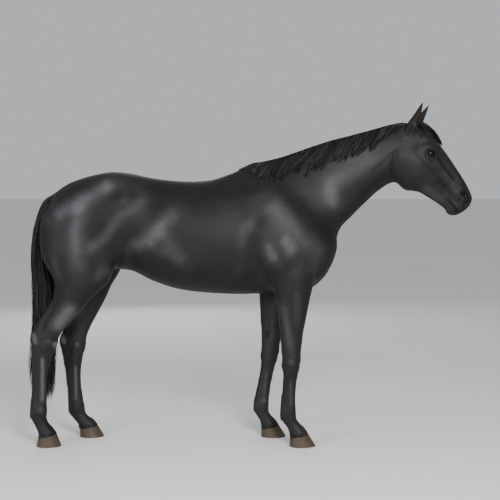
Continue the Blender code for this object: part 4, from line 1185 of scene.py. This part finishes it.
lies = {  # how the hair points along the body, and how far it follows each grain
    "x": (-1.20, -0.95, -0.70, 0.00, 0.30, 0.50, 0.84, 0.95, 1.05, 1.30),
    "wayX": (-0.25, -0.50, -0.90, -0.95, -0.80, -0.60, -0.65, 0.30, 0.55, 0.60),
    "wayZ": (-0.97, -0.87, -0.40, -0.30, -0.60, -0.80, -0.75, -0.95, -0.83, -0.80),
    "forward": (0, 0, 0, 0, 0, 0, 0, 0.8, 1, 1),
    "aslant": (0.3, 0.8, 0.2, 0.1, 0.7, 1, 1, 0.2, 0, 0),
    "legs": (0.75, 1.10),  # heights between which the coat turns down the legs
}


def lieWay(points):  # the way the hair points, before it is laid on the skin
    x, _, z = points.T
    body = np.clip((z - lies["legs"][0]) / (lies["legs"][1] - lies["legs"][0]), 0, 1)
    way = np.stack([np.interp(x, lies["x"], lies[key]) for key in ("wayX", "wayZ")], 1)
    way = way * body[:, None] + np.array((0.0, -1.0)) * (1 - body)[:, None]
    return np.stack([way[:, 0], np.zeros(len(x)), way[:, 1]], 1)


def lieShares(points):
    x, _, z = points.T
    body = np.clip((z - lies["legs"][0]) / (lies["legs"][1] - lies["legs"][0]), 0, 1)
    forward = np.interp(x, lies["x"], lies["forward"]) * body
    aslant = np.interp(x, lies["x"], lies["aslant"]) * body
    return np.stack([1 - body, forward, aslant], 1)


# Hair, in locks and tufts of solid mesh


class Comb:  # gathers tufts, then joins them in one mesh

    def __init__(self, name, rings, seed):
        self.name, self.rings = name, rings
        self.random = np.random.default_rng(seed)
        self.paths, self.outs, self.sizes, self.roots, self.tints = [], [], [], [], []

    def add(self, path, out, wide, thick, root, tint):  # root is where the tuft grows on the flat plan of the skin
        self.paths.append([tuple(p) for p in path])
        self.outs.append(tuple(out))
        self.sizes.append((wide, thick))
        self.roots.append(root)
        self.tints.append(tint)

    def addMany(self, paths, outs, wides, thick, roots, tints):
        self.paths.extend(paths)
        self.outs.extend(outs)
        self.sizes.extend(np.stack([wides, wides * thick], 1))
        self.roots.extend(roots)
        self.tints.extend(tints)

    def outline(self):  # how wide a tuft is along its length
        t = np.linspace(0, 1, self.rings + 1)[:-1]
        return np.clip(0.55 + 1.6 * t, 0, 1) * np.sqrt(np.clip(1 - t**2.2, 0, 1))

    def build(self, finish, layers=None, flat=False):  # layers holds one value for each tuft, by name
        paths = np.array(self.paths)
        count, rings = paths.shape[0], self.rings
        ways = np.gradient(paths, axis=1)
        ways /= np.linalg.norm(ways, axis=2, keepdims=True) + 1e-9
        outs = np.array(self.outs).reshape(count, -1, 3) + np.zeros_like(paths)
        skinOuts = np.concatenate([np.repeat(outs[:, :rings], 3, axis=1), outs[:, rings:]], axis=1)
        across = np.cross(ways, outs)
        across /= np.linalg.norm(across, axis=2, keepdims=True) + 1e-9
        outs = np.cross(across, ways)
        sizes = np.array(self.sizes)
        shape = self.outline()
        wide = sizes[:, 0, None] * shape[None]
        thick = sizes[:, 1, None] * shape[None]
        body = paths[:, :rings]
        left = body - across[:, :rings] * wide[..., None] / 2
        right = body + across[:, :rings] * wide[..., None] / 2
        top = body + outs[:, :rings] * thick[..., None]
        loops = np.stack([left, right, top], axis=2).reshape(count, rings * 3, 3)
        points = np.concatenate([loops, paths[:, rings:rings + 1]], axis=1)
        each = rings * 3 + 1
        quads, fans = [], []
        for k in range(rings - 1):
            for j in range(3):
                n = (j + 1) % 3
                quads.append((3 * k + j, 3 * k + 3 + j, 3 * k + 3 + n, 3 * k + n))
        for j in range(3):
            fans.append((3 * (rings - 1) + j, each - 1, 3 * (rings - 1) + (j + 1) % 3))
        fans.append((0, 1, 2))
        corners = np.array([c for face in quads + fans for c in face])
        totals = np.array([len(face) for face in quads + fans])
        mesh = bpy.data.meshes.new(self.name)
        mesh.vertices.add(count * each)
        mesh.vertices.foreach_set("co", points.astype(np.float32).ravel())
        mesh.loops.add(count * len(corners))
        spread = (corners[None] + np.arange(count)[:, None] * each).ravel()
        mesh.loops.foreach_set("vertex_index", spread.astype(np.int32))
        mesh.polygons.add(count * len(totals))
        starts = np.concatenate([[0], np.cumsum(totals)[:-1]])
        starts = (starts[None] + np.arange(count)[:, None] * len(corners)).ravel()
        mesh.polygons.foreach_set("loop_start", starts.astype(np.int32))
        mesh.update(calc_edges=True)
        reach = np.append(np.repeat(np.arange(rings) / rings, 3), 1.0)
        side = np.append(np.tile((0.0, 1.0, 0.5), rings), 0.5)
        length = np.linalg.norm(np.diff(paths, axis=1), axis=2).sum(axis=1)
        roots = np.array(self.roots)
        low, high = roots.min(axis=0), roots.max(axis=0)
        roots = 0.01 + 0.98 * (roots - low) / np.maximum(high - low, 1e-9)
        plan = mesh.uv_layers.new(name="OFBake")
        patch = np.stack([side - 0.5, reach - 0.5], 1)[corners] * 0.003
        plan.data.foreach_set("uv", (roots[:, None] + patch[None]).astype(np.float32).ravel())
        strand = mesh.uv_layers.new(name="strand")
        start = self.random.random((count, 1)) * 50
        u = start + side[corners][None] * (sizes[:, :1] / 0.008)
        v = start + reach[corners][None] * length[:, None]
        strand.data.foreach_set("uv", np.stack([u, v], 2).astype(np.float32).ravel())
        setLayer(mesh, "tint", (np.array(self.tints)[:, None] + 0.12 * (reach[None] - 0.5)).ravel())
        for layer, values in (layers or {}).items():
            setLayer(mesh, layer, np.repeat(values, each, axis=0))
        mesh.materials.append(finish)
        mesh.shade_smooth()
        mesh.validate()
        if flat:  # shaded as the skin beneath
            mesh.normals_split_custom_set(skinOuts[:, corners].reshape(-1, 3).tolist())
        made = bpy.data.objects.new(self.name, mesh)
        scene.collection.objects.link(made)
        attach(made, "root")
        print(self.name + ":", count, "tufts,", sum(totals - 2) * count, "triangles")
        return made


class SkinMap:  # finds the skin's surface again, for hair to lie on

    def __init__(self, obj):
        mesh = obj.data
        mesh.calc_loop_triangles()
        self.corners = np.empty(len(mesh.loop_triangles) * 3, np.int32)
        mesh.loop_triangles.foreach_get("vertices", self.corners)
        self.corners = self.corners.reshape(-1, 3)
        clay = Clay(obj)
        self.points, self.outs = clay.points, clay.normals()
        self.tree = BVHTree.FromPolygons(self.points.tolist(), self.corners.tolist(), all_triangles=True)

    def over(self, point, lift):  # the nearest place on the skin, raised by lift
        spot, out, _, _ = self.tree.find_nearest(Vector(point))
        return spot + out * lift, out

    def overMany(self, points, lifts):  # the same for many points, with the smooth normals there
        found = [self.tree.find_nearest(point)[:3:2] for point in points.tolist()]
        spots = np.array([spot for spot, _ in found])
        near = self.corners[[face for _, face in found]]
        shares = 1 / (np.linalg.norm(self.points[near] - spots[:, None], axis=2) + 1e-4)
        outs = (self.outs[near] * shares[..., None]).sum(axis=1)
        outs /= np.linalg.norm(outs, axis=1, keepdims=True) + 1e-9
        return spots + outs * lifts, outs

    def fromSide(self, x, z, side):
        spot, out, _, _ = self.tree.ray_cast(Vector((x, side * 0.6, z)), Vector((0, -side, 0)))
        return spot, out


def throughEar(path):
    for ear in ears.values():
        base, tip = Vector(ear["base"]), Vector(ear["tip"])
        for point in path[2:]:
            share = min(max((point - base).dot(tip - base) / (tip - base).length_squared, -0.2), 1.0)
            if (point - base.lerp(tip, share)).length < 0.036 - 0.028 * max(share, 0):
                return True
    return False


mane = {
    "crest": [  # along the crest: (x, z), how far the hair hangs, how thick it lies
        (-0.045, 1.612, 0.020, 0.001), (0.020, 1.641, 0.060, 0.003), (0.080, 1.651, 0.105, 0.006),
        (0.150, 1.667, 0.140, 0.010), (0.220, 1.687, 0.165, 0.012), (0.340, 1.729, 0.190, 0.013),
        (0.460, 1.769, 0.200, 0.014), (0.580, 1.800, 0.190, 0.014), (0.700, 1.832, 0.175, 0.014),
        (0.800, 1.860, 0.150, 0.013), (0.865, 1.874, 0.090, 0.009), (0.900, 1.877, 0.050, 0.005),
        (0.945, 1.870, 0.020, 0.002),
    ],
    "locks": 3900, "wisps": 150, "fall": (-0.50, -0.86), "wide": (0.0022, 0.0062), "seed": 11,
}


def buildMane(skinMap, finish):
    comb = Comb("mane_hair", 8, mane["seed"])
    r = comb.random
    crest = [(x, 0, z) for x, z, _, _ in mane["crest"]]
    sizes = [(hang, thick, 0) for _, _, hang, thick in mane["crest"]]
    spans, wisps = len(crest) - 1, mane["wisps"]
    reaches = np.cumsum([0] + [math.dist(a, b) for a, b in zip(crest, crest[1:])])
    tips = (np.arange(wisps) + r.uniform(0, 1, wisps)) / wisps
    lengths, leans, bends = r.uniform(0.62, 1.12, wisps), r.normal(0, 0.10, wisps), r.normal(0, 0.008, wisps)
    tints, rises = r.normal(-0.05, 0.15, wisps), r.uniform(0.5, 1.15, wisps)

    def onCrest(table, t):  # t goes evenly along the crest
        return along(table, float(np.interp(t * reaches[-1], reaches, range(spans + 1))))[0]

    for k in range(mane["locks"]):
        t = (k + r.random()) / mane["locks"]
        here, (hang, thick, _) = onCrest(crest, t), onCrest(sizes, t)
        wisp = int(np.argmin(np.abs(tips - t + r.normal(0, 0.004))))
        centre = onCrest(crest, tips[wisp])
        layer = r.random()
        left = r.random() < 0.12
        side = 1 if left else -1
        reach = hang * lengths[wisp] * (0.55 + 0.45 * r.random() ** 0.6) * (0.34 if left else 1)
        fall = Vector((mane["fall"][0] + leans[wisp] + r.normal(0, 0.03), 0, mane["fall"][1])).normalized()
        root = skinMap.over((here.x, side * r.uniform(-0.020, 0.004), here.z - 0.012), -0.002)[0]
        top = thick * (0.35 + 0.75 * layer) * rises[wisp]
        high = here.z + 0.002 - thick * 0.5 * (1 - layer)
        path = [root, Vector((here.x - 0.002, side * -0.003, high - 0.0015))]
        path.append(Vector((here.x - 0.005, side * 0.006, high - 0.002)))
        pull = r.uniform(0.5, 1.0)
        wave, phase = r.normal(0, 0.0030), r.uniform(0, math.tau)
        for i in range(1, 7):
            s = i / 6 if i > 1 else 0.12
            drift = (centre.x - here.x) * pull * s**1.4 + bends[wisp] * math.sin(math.pi * s)
            x = here.x + fall.x * reach * s + drift + wave * math.sin(4 * s + phase) - 0.012 * s * s
            z = here.z + fall.z * reach * s - 0.003
            spot, _ = skinMap.fromSide(x, z, side)
            y = spot.y if spot else side * 0.004
            deep = min(1.0, 0.35 + reach * s / 0.035)
            path.append(Vector((x, y + side * top * deep * (1 - 0.45 * s), z)))
        if throughEar(path):
            continue
        wide = r.uniform(*mane["wide"]) * (0.8 if left else 1)
        comb.add(path, (0.15, side, 0.35), wide, wide * 0.30, (t, 40 * root.y), r.beta(1.4, 3.0) + tints[wisp])
    made = comb.build(finish)
    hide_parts("mane")


forelock = {
    "line": [(0.930, 1.872), (0.985, 1.876), (1.022, 1.860), (1.056, 1.824), (1.084, 1.789), (1.108, 1.757),
             (1.130, 1.724)],
    "locks": 900, "sideLocks": 420, "wisps": 20, "seed": 12,
}


def buildForelock(skinMap, finish):
    comb = Comb("forelock_hair", 7, forelock["seed"])
    r = comb.random
    wisps = forelock["wisps"]
    ends, lengths, tints = r.uniform(-1, 1, wisps), r.uniform(0.55, 1.0, wisps), r.normal(0, 0.15, wisps)
    for _ in range(forelock["locks"]):
        start = r.uniform(-1, 1)
        wisp = int(np.argmin(np.abs(ends - start + r.normal(0, 0.08))))
        end = start + (ends[wisp] * 0.9 - start) * r.uniform(0.5, 0.95)
        reach = r.uniform(0.75, 1.0) * lengths[wisp]
        layer = r.random()
        path = []
        for i in range(8):
            s = i / 7
            x, _, z = along([(x, 0, z) for x, z in forelock["line"]], s * reach * 6)[0]
            y = (start * (1 - s) + end * s) * (0.014 + 0.034 * math.sin(math.pi * min(1, s * 1.2)))
            lift = (0.003 + 0.030 * layer * math.sin(math.pi * min(0.95, 0.14 + s * 0.76))) * min(1, 0.1 + 2.6 * s)
            path.append(skinMap.over((x, y, z), lift if i else -0.002)[0])
        if throughEar(path):
            continue
        wide = r.uniform(0.0025, 0.006)
        comb.add(path, (0.6, 0, 0.8), wide, wide * 0.3, (start, layer), r.beta(1.4, 3.0) + tints[wisp])
    fans = r.uniform(0, 1, (2, wisps))
    for k in range(forelock["sideLocks"]):  # strands that hang before the ears, over the temples
        side = -1 if k % 3 else 1
        wisp = r.integers(wisps)
        fan = fans[int(side > 0), wisp] + r.normal(0, 0.012)
        start = Vector((0.976 + 0.022 * fan, side * r.uniform(0.004, 0.016), 1.874))
        low, _ = skinMap.fromSide(0.980 + 0.100 * fan, 1.772 + 0.022 * math.sin(math.pi * fan), side)
        reach, lift = lengths[wisp] * r.uniform(0.75, 1.05), r.uniform(0.001, 0.007)
        path = []
        for i in range(8):
            s = i / 7
            arch = math.sin(math.pi * s)
            spot = start.lerp(low, s * reach) + Vector((0.016 * arch, side * 0.02 * arch, 0))
            path.append(skinMap.over(spot, lift * min(1, 3 * s) * (1.1 - s) + 0.0005 if i else -0.002)[0])
        if throughEar(path):
            continue
        wide = r.uniform(0.002, 0.005)
        comb.add(path, (0.1, side, 0.3), wide, wide * 0.3, (2 * side + fan, lift * 9), r.beta(1.4, 3.0) + tints[wisp])
    made = comb.build(finish)
    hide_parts("forelock")


tail = {
    "rows": [
        ring((-1.120, 1.490), (-1.105, 1.440), 0.034),
        ring((-1.172, 1.456), (-1.145, 1.400), 0.042),
        ring((-1.208, 1.422), (-1.162, 1.360), 0.047),
        ring((-1.240, 1.352), (-1.178, 1.300), 0.052),
        ring((-1.263, 1.275), (-1.188, 1.240), 0.056),
        ring((-1.278, 1.170), (-1.190, 1.150), 0.062),
        ring((-1.281, 1.030), (-1.172, 1.020), 0.066),
        ring((-1.276, 0.900), (-1.152, 0.900), 0.068),
        ring((-1.281, 0.750), (-1.146, 0.750), 0.068),
        ring((-1.286, 0.600), (-1.146, 0.600), 0.066),
        ring((-1.293, 0.460), (-1.148, 0.460), 0.062),
        ring((-1.297, 0.360), (-1.150, 0.350), 0.058),
        ring((-1.294, 0.280), (-1.156, 0.270), 0.050),
        ring((-1.280, 0.215), (-1.174, 0.210), 0.034),
    ],
    "locks": 1500, "rings": 13, "clumps": 60, "wide": (0.003, 0.009), "seed": 13,
}


def buildTail(skinMap, finish):
    rows = np.array(smoothRows(tail["rows"], 8))
    last = len(rows) - 1
    shape = np.random.default_rng(tail["seed"])
    turns = shape.uniform(-math.pi, math.pi, tail["clumps"])
    ends = shape.uniform(0.80, 1.0, tail["clumps"])
    waves = shape.normal(0, 0.011, (tail["clumps"], 2))
    tints = shape.normal(-0.02, 0.16, tail["clumps"])
    for part in (0, 1):
        comb = Comb(("tail_hair_outer", "tail_hair_inner")[part], tail["rings"], tail["seed"] + part)
        r = comb.random
        for _ in range(tail["locks"]):
            angle = r.uniform(-math.pi, math.pi)
            apart = np.abs((turns - angle + math.pi) % math.tau - math.pi) + r.uniform(0, 0.5, tail["clumps"])
            clump = int(np.argmin(apart))
            toward = (turns[clump] - angle + math.pi) % math.tau - math.pi
            core = r.uniform(0.78, 1.0) if part == 0 else r.uniform(0.1, 0.85)
            begin = 0.34 * r.random() ** 1.5
            end = ends[clump] * r.uniform(0.90, 1.0)
            if r.random() < 0.35:
                end = min(end, begin + r.uniform(0.35, 0.8))
            gather = r.uniform(0.4, 0.9)
            wave, phase, cross = r.normal(0, 0.006), r.uniform(0, math.tau), waves[clump]
            path = []
            for i in range(tail["rings"] + 1):
                s = i / tail["rings"]
                row = rows[min(int(round((begin + (end - begin) * s) * last)), last)]
                turn = angle + toward * gather * s**1.3
                deep = core * (0.75 + 0.25 * min(1, s * 5)) * (1 - 0.30 * gather * max(0, s - 0.6) / 0.4)
                spot = ringCorner(row, turn, deep)
                sway = math.sin(7 * s + clump) * s
                spot.x += (cross[0] * sway + wave * math.sin(9 * s + phase)) * s
                spot.y += (cross[1] * sway + wave * math.cos(8 * s + phase)) * s * 1.6
                if i < 3 and begin < 0.2:  # the first hair lies on the dock
                    spot = spot.lerp(skinMap.over(spot, 0.003 * i - 0.002)[0], (1.0, 0.75, 0.35)[i])
                path.append(spot)
            wide = r.uniform(*tail["wide"])
            out = ringCorner(rows[last // 2], angle, 1.0) - ringCorner(rows[last // 2], angle, 0.0)
            comb.add(path, out.normalized(), wide, wide * 0.3, (angle, begin), r.beta(1.4, 3.0) + tints[clump])
        made = comb.build(finish)
        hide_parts("tail")


tufts = {  # how many, then the length, the width and the height of the tips in each zone
    "seed": 21,
    "pieces": {"coat_trunk": 19500, "coat_neck_and_head": 19500, "coat_legs": 19500},
    "trunk": (0.022, 0.0026, 0.0005), "neck": (0.018, 0.0022, 0.0005), "head": (0.0085, 0.0014, 0.0003),
    "legs": (0.013, 0.0017, 0.0004), "feet": (0.009, 0.0012, 0.0003),
    "root": 0.0008, "spread": 0.15,
}
axis = {  # the middle line of the body
    "x": (-1.20, -0.80, -0.20, 0.25, 0.50, 0.70, 0.90, 1.10, 1.30),
    "z": (1.30, 1.28, 1.20, 1.25, 1.45, 1.60, 1.68, 1.58, 1.42),
}


def planOf(points):  # the flat plan of the skin: the body unrolled about its axis, and each leg beside it
    x, y, z = points.T
    turn = np.arctan2(y, z - np.interp(x, axis["x"], axis["z"])) / math.tau + 0.5
    body = np.stack([(x + 1.3) / 2.6, 0.5 + turn / 2], 1)
    low = z < 0.90
    middle = np.where(x > -0.4, 0.19, -1.06) + np.where(x > -0.4, 0.06, -0.06) * np.where(y < 0, 1, -1)
    around = np.arctan2(y - np.sign(y) * stance, x - middle) / math.tau + 0.5
    index = 2 * (x > -0.4) + (y > 0)
    leg = np.stack([(index + 0.9 * around) / 4, z / 0.90 * 0.48], 1)
    return np.where(low[:, None], leg, body)


def bare(points):  # no tufts on the eyes, the nostrils, the ears or the hooves
    x, y, z = points.T
    gone = inCircle(points, "eyeballs") | inCircle(points, "nostrils")
    gone |= (z < 0.045) | inEars(points) & (z > 1.868)
    for name in legNames:
        joint = legs[name]["joints"][-2]
        away = (x - joint[0]) * math.sin(math.radians(15)) - (z - joint[1]) * math.cos(math.radians(15))
        gone |= (away > -0.004) & (np.hypot(x - joint[0], y - legs[name]["side"] * stance) < 0.12)
    return gone


def buildCoat(skinObj, skinMap, finish):
    tones, warms = getLayer(skinObj.data, "toneAndPaintedLight"), getLayer(skinObj.data, "warm")
    corners, points, outs = skinMap.corners, skinMap.points, skinMap.outs
    a, b, c = (points[corners[:, k]] for k in range(3))
    areas = np.linalg.norm(np.cross(b - a, c - a), axis=1) / 2
    middles = (a + b + c) / 3
    x, _, z = middles.T
    parts = np.where(z < 0.95, 2, np.where(x > 0.36, 1, 0))
    for part, (name, count) in enumerate(tufts["pieces"].items()):
        comb = Comb(name, 2, tufts["seed"] + part)
        r = comb.random
        share = areas * (parts == part) * np.where((part == 1) & inHead(middles), 2.6, 1.0)
        share *= np.where((part == 2) & (z < 0.45), 1.6, 1.0)
        picks = r.choice(len(areas), count, p=share / share.sum())
        mix = r.dirichlet((1, 1, 1), count)
        spots = (points[corners[picks]] * mix[..., None]).sum(axis=1)
        ways = (outs[corners[picks]] * mix[..., None]).sum(axis=1)
        # each tuft takes the skin's tone at its root, painted highlights and painted shade included
        toneAndPaintedLight = (tones[corners[picks]] * mix).sum(axis=1)
        keep = ~bare(spots) & (warms[corners[picks]].max(axis=1) < 0.02)
        spots, ways, toneAndPaintedLight = spots[keep], ways[keep], toneAndPaintedLight[keep]
        ways /= np.linalg.norm(ways, axis=1, keepdims=True) + 1e-9
        lie = lieWay(spots) + r.normal(0, tufts["spread"], spots.shape)
        lie -= ways * (lie * ways).sum(axis=1, keepdims=True)
        lie /= np.linalg.norm(lie, axis=1, keepdims=True) + 1e-9
        zone = np.array([tufts["trunk"], tufts["neck"], tufts["legs"]][part]) * np.ones((len(spots), 1))
        zone[inHead(spots)] = tufts["head"]
        zone[spots[:, 2] < 0.30] = tufts["feet"]
        length = (zone[:, 0] * r.uniform(0.7, 1.25, len(spots)))[:, None]
        tips = zone[:, 2:] * r.uniform(0.3, 1.4, (len(spots), 1))
        middle, middleOuts = skinMap.overMany(spots + lie * length * 0.5, tips * 0.8)
        end, endOuts = skinMap.overMany(spots + lie * length, tips * 0.9)
        paths = np.stack([spots - ways * tufts["root"], middle, end], 1)
        allOuts = np.stack([ways, middleOuts, endOuts], 1)
        wides = zone[:, 1] * r.uniform(0.7, 1.3, len(spots))
        flat = ((middleOuts * ways).sum(axis=1) > 0.6) & ((endOuts * ways).sum(axis=1) > 0.35)  # not over an edge
        comb.addMany(paths[flat], allOuts[flat], wides[flat], 0.05, planOf(spots[flat]), r.random(flat.sum()))
        toneAndPaintedLight = toneAndPaintedLight + r.normal(0.008, 0.030, len(spots))
        layers = {"toneAndPaintedLight": toneAndPaintedLight[flat], "lie": lieShares(spots[flat]), "warm": np.zeros(flat.sum())}
        comb.build(finish, layers, flat=True)


fringes = {"seed": 31, "coronet": 420, "fetlock": 130}


def buildFringes(skinMap, finish):  # over the hooves, and behind the fetlocks
    comb = Comb("foot_hair", 4, fringes["seed"])
    r = comb.random
    lean = math.radians(hoof["tilt"])
    down = Vector((math.sin(lean), 0, -math.cos(lean)))
    for name in legNames:
        leg = legs[name]
        x, z = leg["joints"][-2]
        centre = Vector((x - 0.006, leg["side"] * stance, z))
        ahead = Vector((math.cos(lean), 0, math.sin(lean)))
        for _ in range(fringes["coronet"]):
            angle, rise = r.uniform(0, math.tau), r.uniform(0.002, 0.030)
            away = ahead * math.cos(angle) + Vector((0, math.sin(angle), 0))
            root, _ = skinMap.over(centre - down * rise + away * 0.058, -0.001)
            length = rise + r.uniform(0.000, 0.007) + 0.002 * math.sin(angle * 5)
            lift = r.uniform(0.0006, 0.0020)
            path = [root]
            for i in range(1, 5):
                s = i / 4
                side = away * (lift + 0.0040 * s) + Vector((0, r.normal(0, 0.0008), 0))
                path.append(root + side + down * length * s)
            wide = r.uniform(0.0012, 0.0026)
            comb.add(path, away, wide, wide * 0.2, planOf(np.array([root]))[0], r.beta(1.4, 3.0))
        low = 3.0 if legKind(name) == "fore" else 4.0
        for _ in range(fringes["fetlock"]):
            place, out = low + r.uniform(-0.14, 0.16), r.normal(0, 0.013)
            root, _ = skinMap.over(legPoint(name, place, -0.055, out), -0.001)
            length = r.uniform(0.008, 0.024) * (1 - 3.0 * abs(place - low - 0.03)) * (1 - abs(out) * 14)
            path = [root]
            for i in range(1, 5):
                s = i / 4
                path.append(root + Vector((-0.22 * s * (1 - 0.6 * s), -out * 14 * s, -1.0 * s)) * length)
            wide = r.uniform(0.0012, 0.0028)
            comb.add(path, (-1, 0, 0.2), wide, wide * 0.3, planOf(np.array([root]))[0], r.beta(1.4, 3.0))
    comb.build(finish)


faceHair = {
    "seed": 41, "lashes": 34, "whiskers": 26, "ear": 220,
    "chin": (1.15, 1.22, 1.335, 1.37), "lips": (1.19, 1.28, 1.37, 1.41),  # bounds of the whiskers in x and z
}


def buildFaceHair(skinMap, finish):  # lashes, whiskers, and hair inside the ears
    comb = Comb("face_hair", 5, faceHair["seed"])
    r = comb.random
    for side in (-1, 1):
        lids = EyeFrame(side)
        for k in range(faceHair["lashes"]):
            angle = math.radians(r.uniform(25, 150))
            root = Vector(lids.onBall(np.array([1.04]), np.array([angle]), 0.0008)[0])
            fan = Vector(lids.length) * (math.cos(angle) * 0.7 + r.normal(0, 0.08)) + Vector(lids.up) * 0.15
            length = r.uniform(0.008, 0.014)
            path = []
            for i in range(6):
                s = i / 5
                curl = Vector(lids.out) * (s - 0.25 * s * s) + fan * s - Vector(lids.up) * 0.35 * math.sin(3 * s) * s
                path.append(root + curl * length)
            comb.add(path, lids.up, 0.0007, 0.0003, planOf(np.array([root]))[0], r.random() * 0.3)
        for k in range(faceHair["whiskers"]):
            near, far, low, high = faceHair["chin" if k % 2 else "lips"]
            x, z = r.uniform(near, far), r.uniform(low, high)
            root, out = skinMap.over((x, side * r.uniform(0.01, 0.055), z), -0.001)
            way = (out + Vector((0.25, 0, -0.55)) + Vector(r.normal(0, 0.2, 3))).normalized()
            length = r.uniform(0.010, 0.026)
            sag = Vector((0, 0, -0.25 * length))
            path = [root + way * length * i / 5 + sag * (i / 5) ** 2 for i in range(6)]
            comb.add(path, (0, side, 0.2), 0.0006, 0.0004, planOf(np.array([root]))[0], r.random() * 0.4)
    for name in ears:
        base, height, way, ahead, across = earAxes(name)
        for _ in range(faceHair["ear"]):
            place = r.uniform(0.16, 0.86)
            half = 0.030 * (1 - place) + 0.003
            turn = r.choice((-1, 1)) * r.uniform(0.45, 0.95)
            root, out = skinMap.over(base + way * height * place + across * half * turn + ahead * half * 0.1, -0.001)
            radial = root - base - way * (root - base).dot(way)
            if out.dot(radial) > 0:  # only on the inner side
                continue
            length = r.uniform(0.010, 0.022) * (1.1 - place)
            lean = ahead * r.uniform(0.05, 0.35) - across * turn * r.uniform(0.1, 0.4) + way * r.uniform(0.7, 1.1)
            path = [root + lean * length * i / 5 + way * 0.2 * length * (i / 5) ** 2 for i in range(6)]
            comb.add(path, ahead, 0.0012, 0.0005, planOf(np.array([root]))[0], r.beta(1.4, 2.0))
    comb.build(finish)


chestnut = {
    "fore": (1.70, -0.026, 0.024, 0.012), "hind": (3.22, -0.006, 0.018, 0.008), "thick": 0.0042, "down": 2.6,
    "seed": 5,
}


def buildChestnuts(skinMap, finish):  # horny pads on the inner side of each leg
    bm = bmesh.new()
    r = np.random.default_rng(chestnut["seed"])
    for name in legNames:
        place, ahead, length, wide = chestnut[legKind(name)]
        start = legPoint(name, place, ahead)
        spot, out, _, _ = skinMap.tree.ray_cast(Vector((start.x, 0.0, start.z)), Vector((0, legs[name]["side"], 0)))
        _, way = along([(x, 0, z) for x, z in legs[name]["joints"]], place)
        turn = Matrix([out.cross(way).normalized(), way, out]).transposed()
        drawn = bmesh.ops.create_icosphere(bm, subdivisions=4, radius=1.0)["verts"]
        for v in drawn:
            rough = 1 + 0.10 * math.sin(9 * v.co.y + 3 * v.co.x) + r.normal(0, 0.012)
            v.co = Vector((v.co.x * wide, v.co.y * length, v.co.z * chestnut["thick"] * rough))
        bmesh.ops.rotate(bm, cent=(0, 0, 0), matrix=turn, verts=drawn)
        bmesh.ops.translate(bm, vec=spot, verts=drawn)
    made = newPiece("chestnuts", bm, finish)
    setLayer(made.data, "down", np.full(len(made.data.vertices), chestnut["down"]))
    made.data.shade_smooth()
    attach(made, "root")


# The whole animal


def paint(obj):  # painted highlights and painted shade in the coat's tone, the warm skin inside the ears, and how its hair lies
    clay = Clay(obj)
    out = clay.normals()
    x, y, z = clay.points.T
    toneAndPaintedLight = np.full(len(x), paintedLightAndShade["base"])
    # the painted highlights and painted shade of each place
    for path, radius, change in paintedLightAndShade["places"].values():
        toneAndPaintedLight += clay.share(path, radius, out) * change
    # painted shade on the surfaces that face down
    toneAndPaintedLight -= paintedLightAndShade["belly"] * np.clip(-out[:, 2] - 0.2, 0, 1)
    # painted shade on the top of the back, where the lamps from above fall
    toneAndPaintedLight -= paintedLightAndShade["back"] * np.clip(out[:, 2] - 0.5, 0, 1) * (z > 1.3)
    toneAndPaintedLight += paintedLightAndShade["legs"] * np.clip((0.85 - z) / 0.2, 0, 1)
    # lighter inner sides of the lower legs, as many horses have, which is also painted light lifting the shade between
    # the legs
    toneAndPaintedLight += paintedLightAndShade["inner"] * np.clip(-out[:, 1] * np.sign(y), 0, 1) * (z < 0.85)
    warm = np.zeros(len(x))
    for name, ear in ears.items():
        away = clay.points - np.array(ear["base"])
        way = np.array(earAxes(name)[2])
        up = away @ way
        away -= up[:, None] * way
        inward = -(out * away).sum(axis=1) / (np.linalg.norm(away, axis=1) + 0.004)
        near = np.clip((0.046 - clay.nearest([ear["base"], ear["tip"]])[0]) / 0.012, 0, 1) * inEars(clay.points)
        near = near * np.clip((up - 0.012) / 0.016, 0, 1)
        warm = np.maximum(warm, near * np.clip((1.965 - z) / 0.06, 0, 1) * np.clip(inward * 1.5, 0, 1))
    setLayer(obj.data, "toneAndPaintedLight", toneAndPaintedLight)
    setLayer(obj.data, "warm", np.clip(warm, 0, 0.6))
    setLayer(obj.data, "lie", lieShares(clay.points))


makeStage()
body = buildSkin(coatFinish())
paint(body)
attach(body, "root")
flesh = ["head", "neck", "trunk", "ear_left", "ear_right"]
flesh += [f"{name}_{piece}" for name in legNames for piece in ("cannon", "pastern")]
flesh += [f"{name}_{'forearm' if legKind(name) == 'fore' else 'thigh'}" for name in legNames]
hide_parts(*flesh)
print("skin:", len(body.data.polygons), "faces,", sum(len(p.vertices) - 2 for p in body.data.polygons), "triangles")

wet = eyeFinish()
for name in ("eye_left", "eye_right"):
    buildEyeball(name, wet)
horn = hornFinish()
for name in legNames:
    buildHoof(name, horn)
skinMap = SkinMap(body)
longHair = hairFinish("long_hair", longTones, 0.42)
fineHair = hairFinish("fine_hair", fineTones, 0.45)
buildMane(skinMap, longHair)
buildForelock(skinMap, longHair)
buildTail(skinMap, longHair)
buildCoat(body, skinMap, body.data.materials[0])
buildFringes(skinMap, longHair)
buildFaceHair(skinMap, fineHair)
buildChestnuts(skinMap, horn)
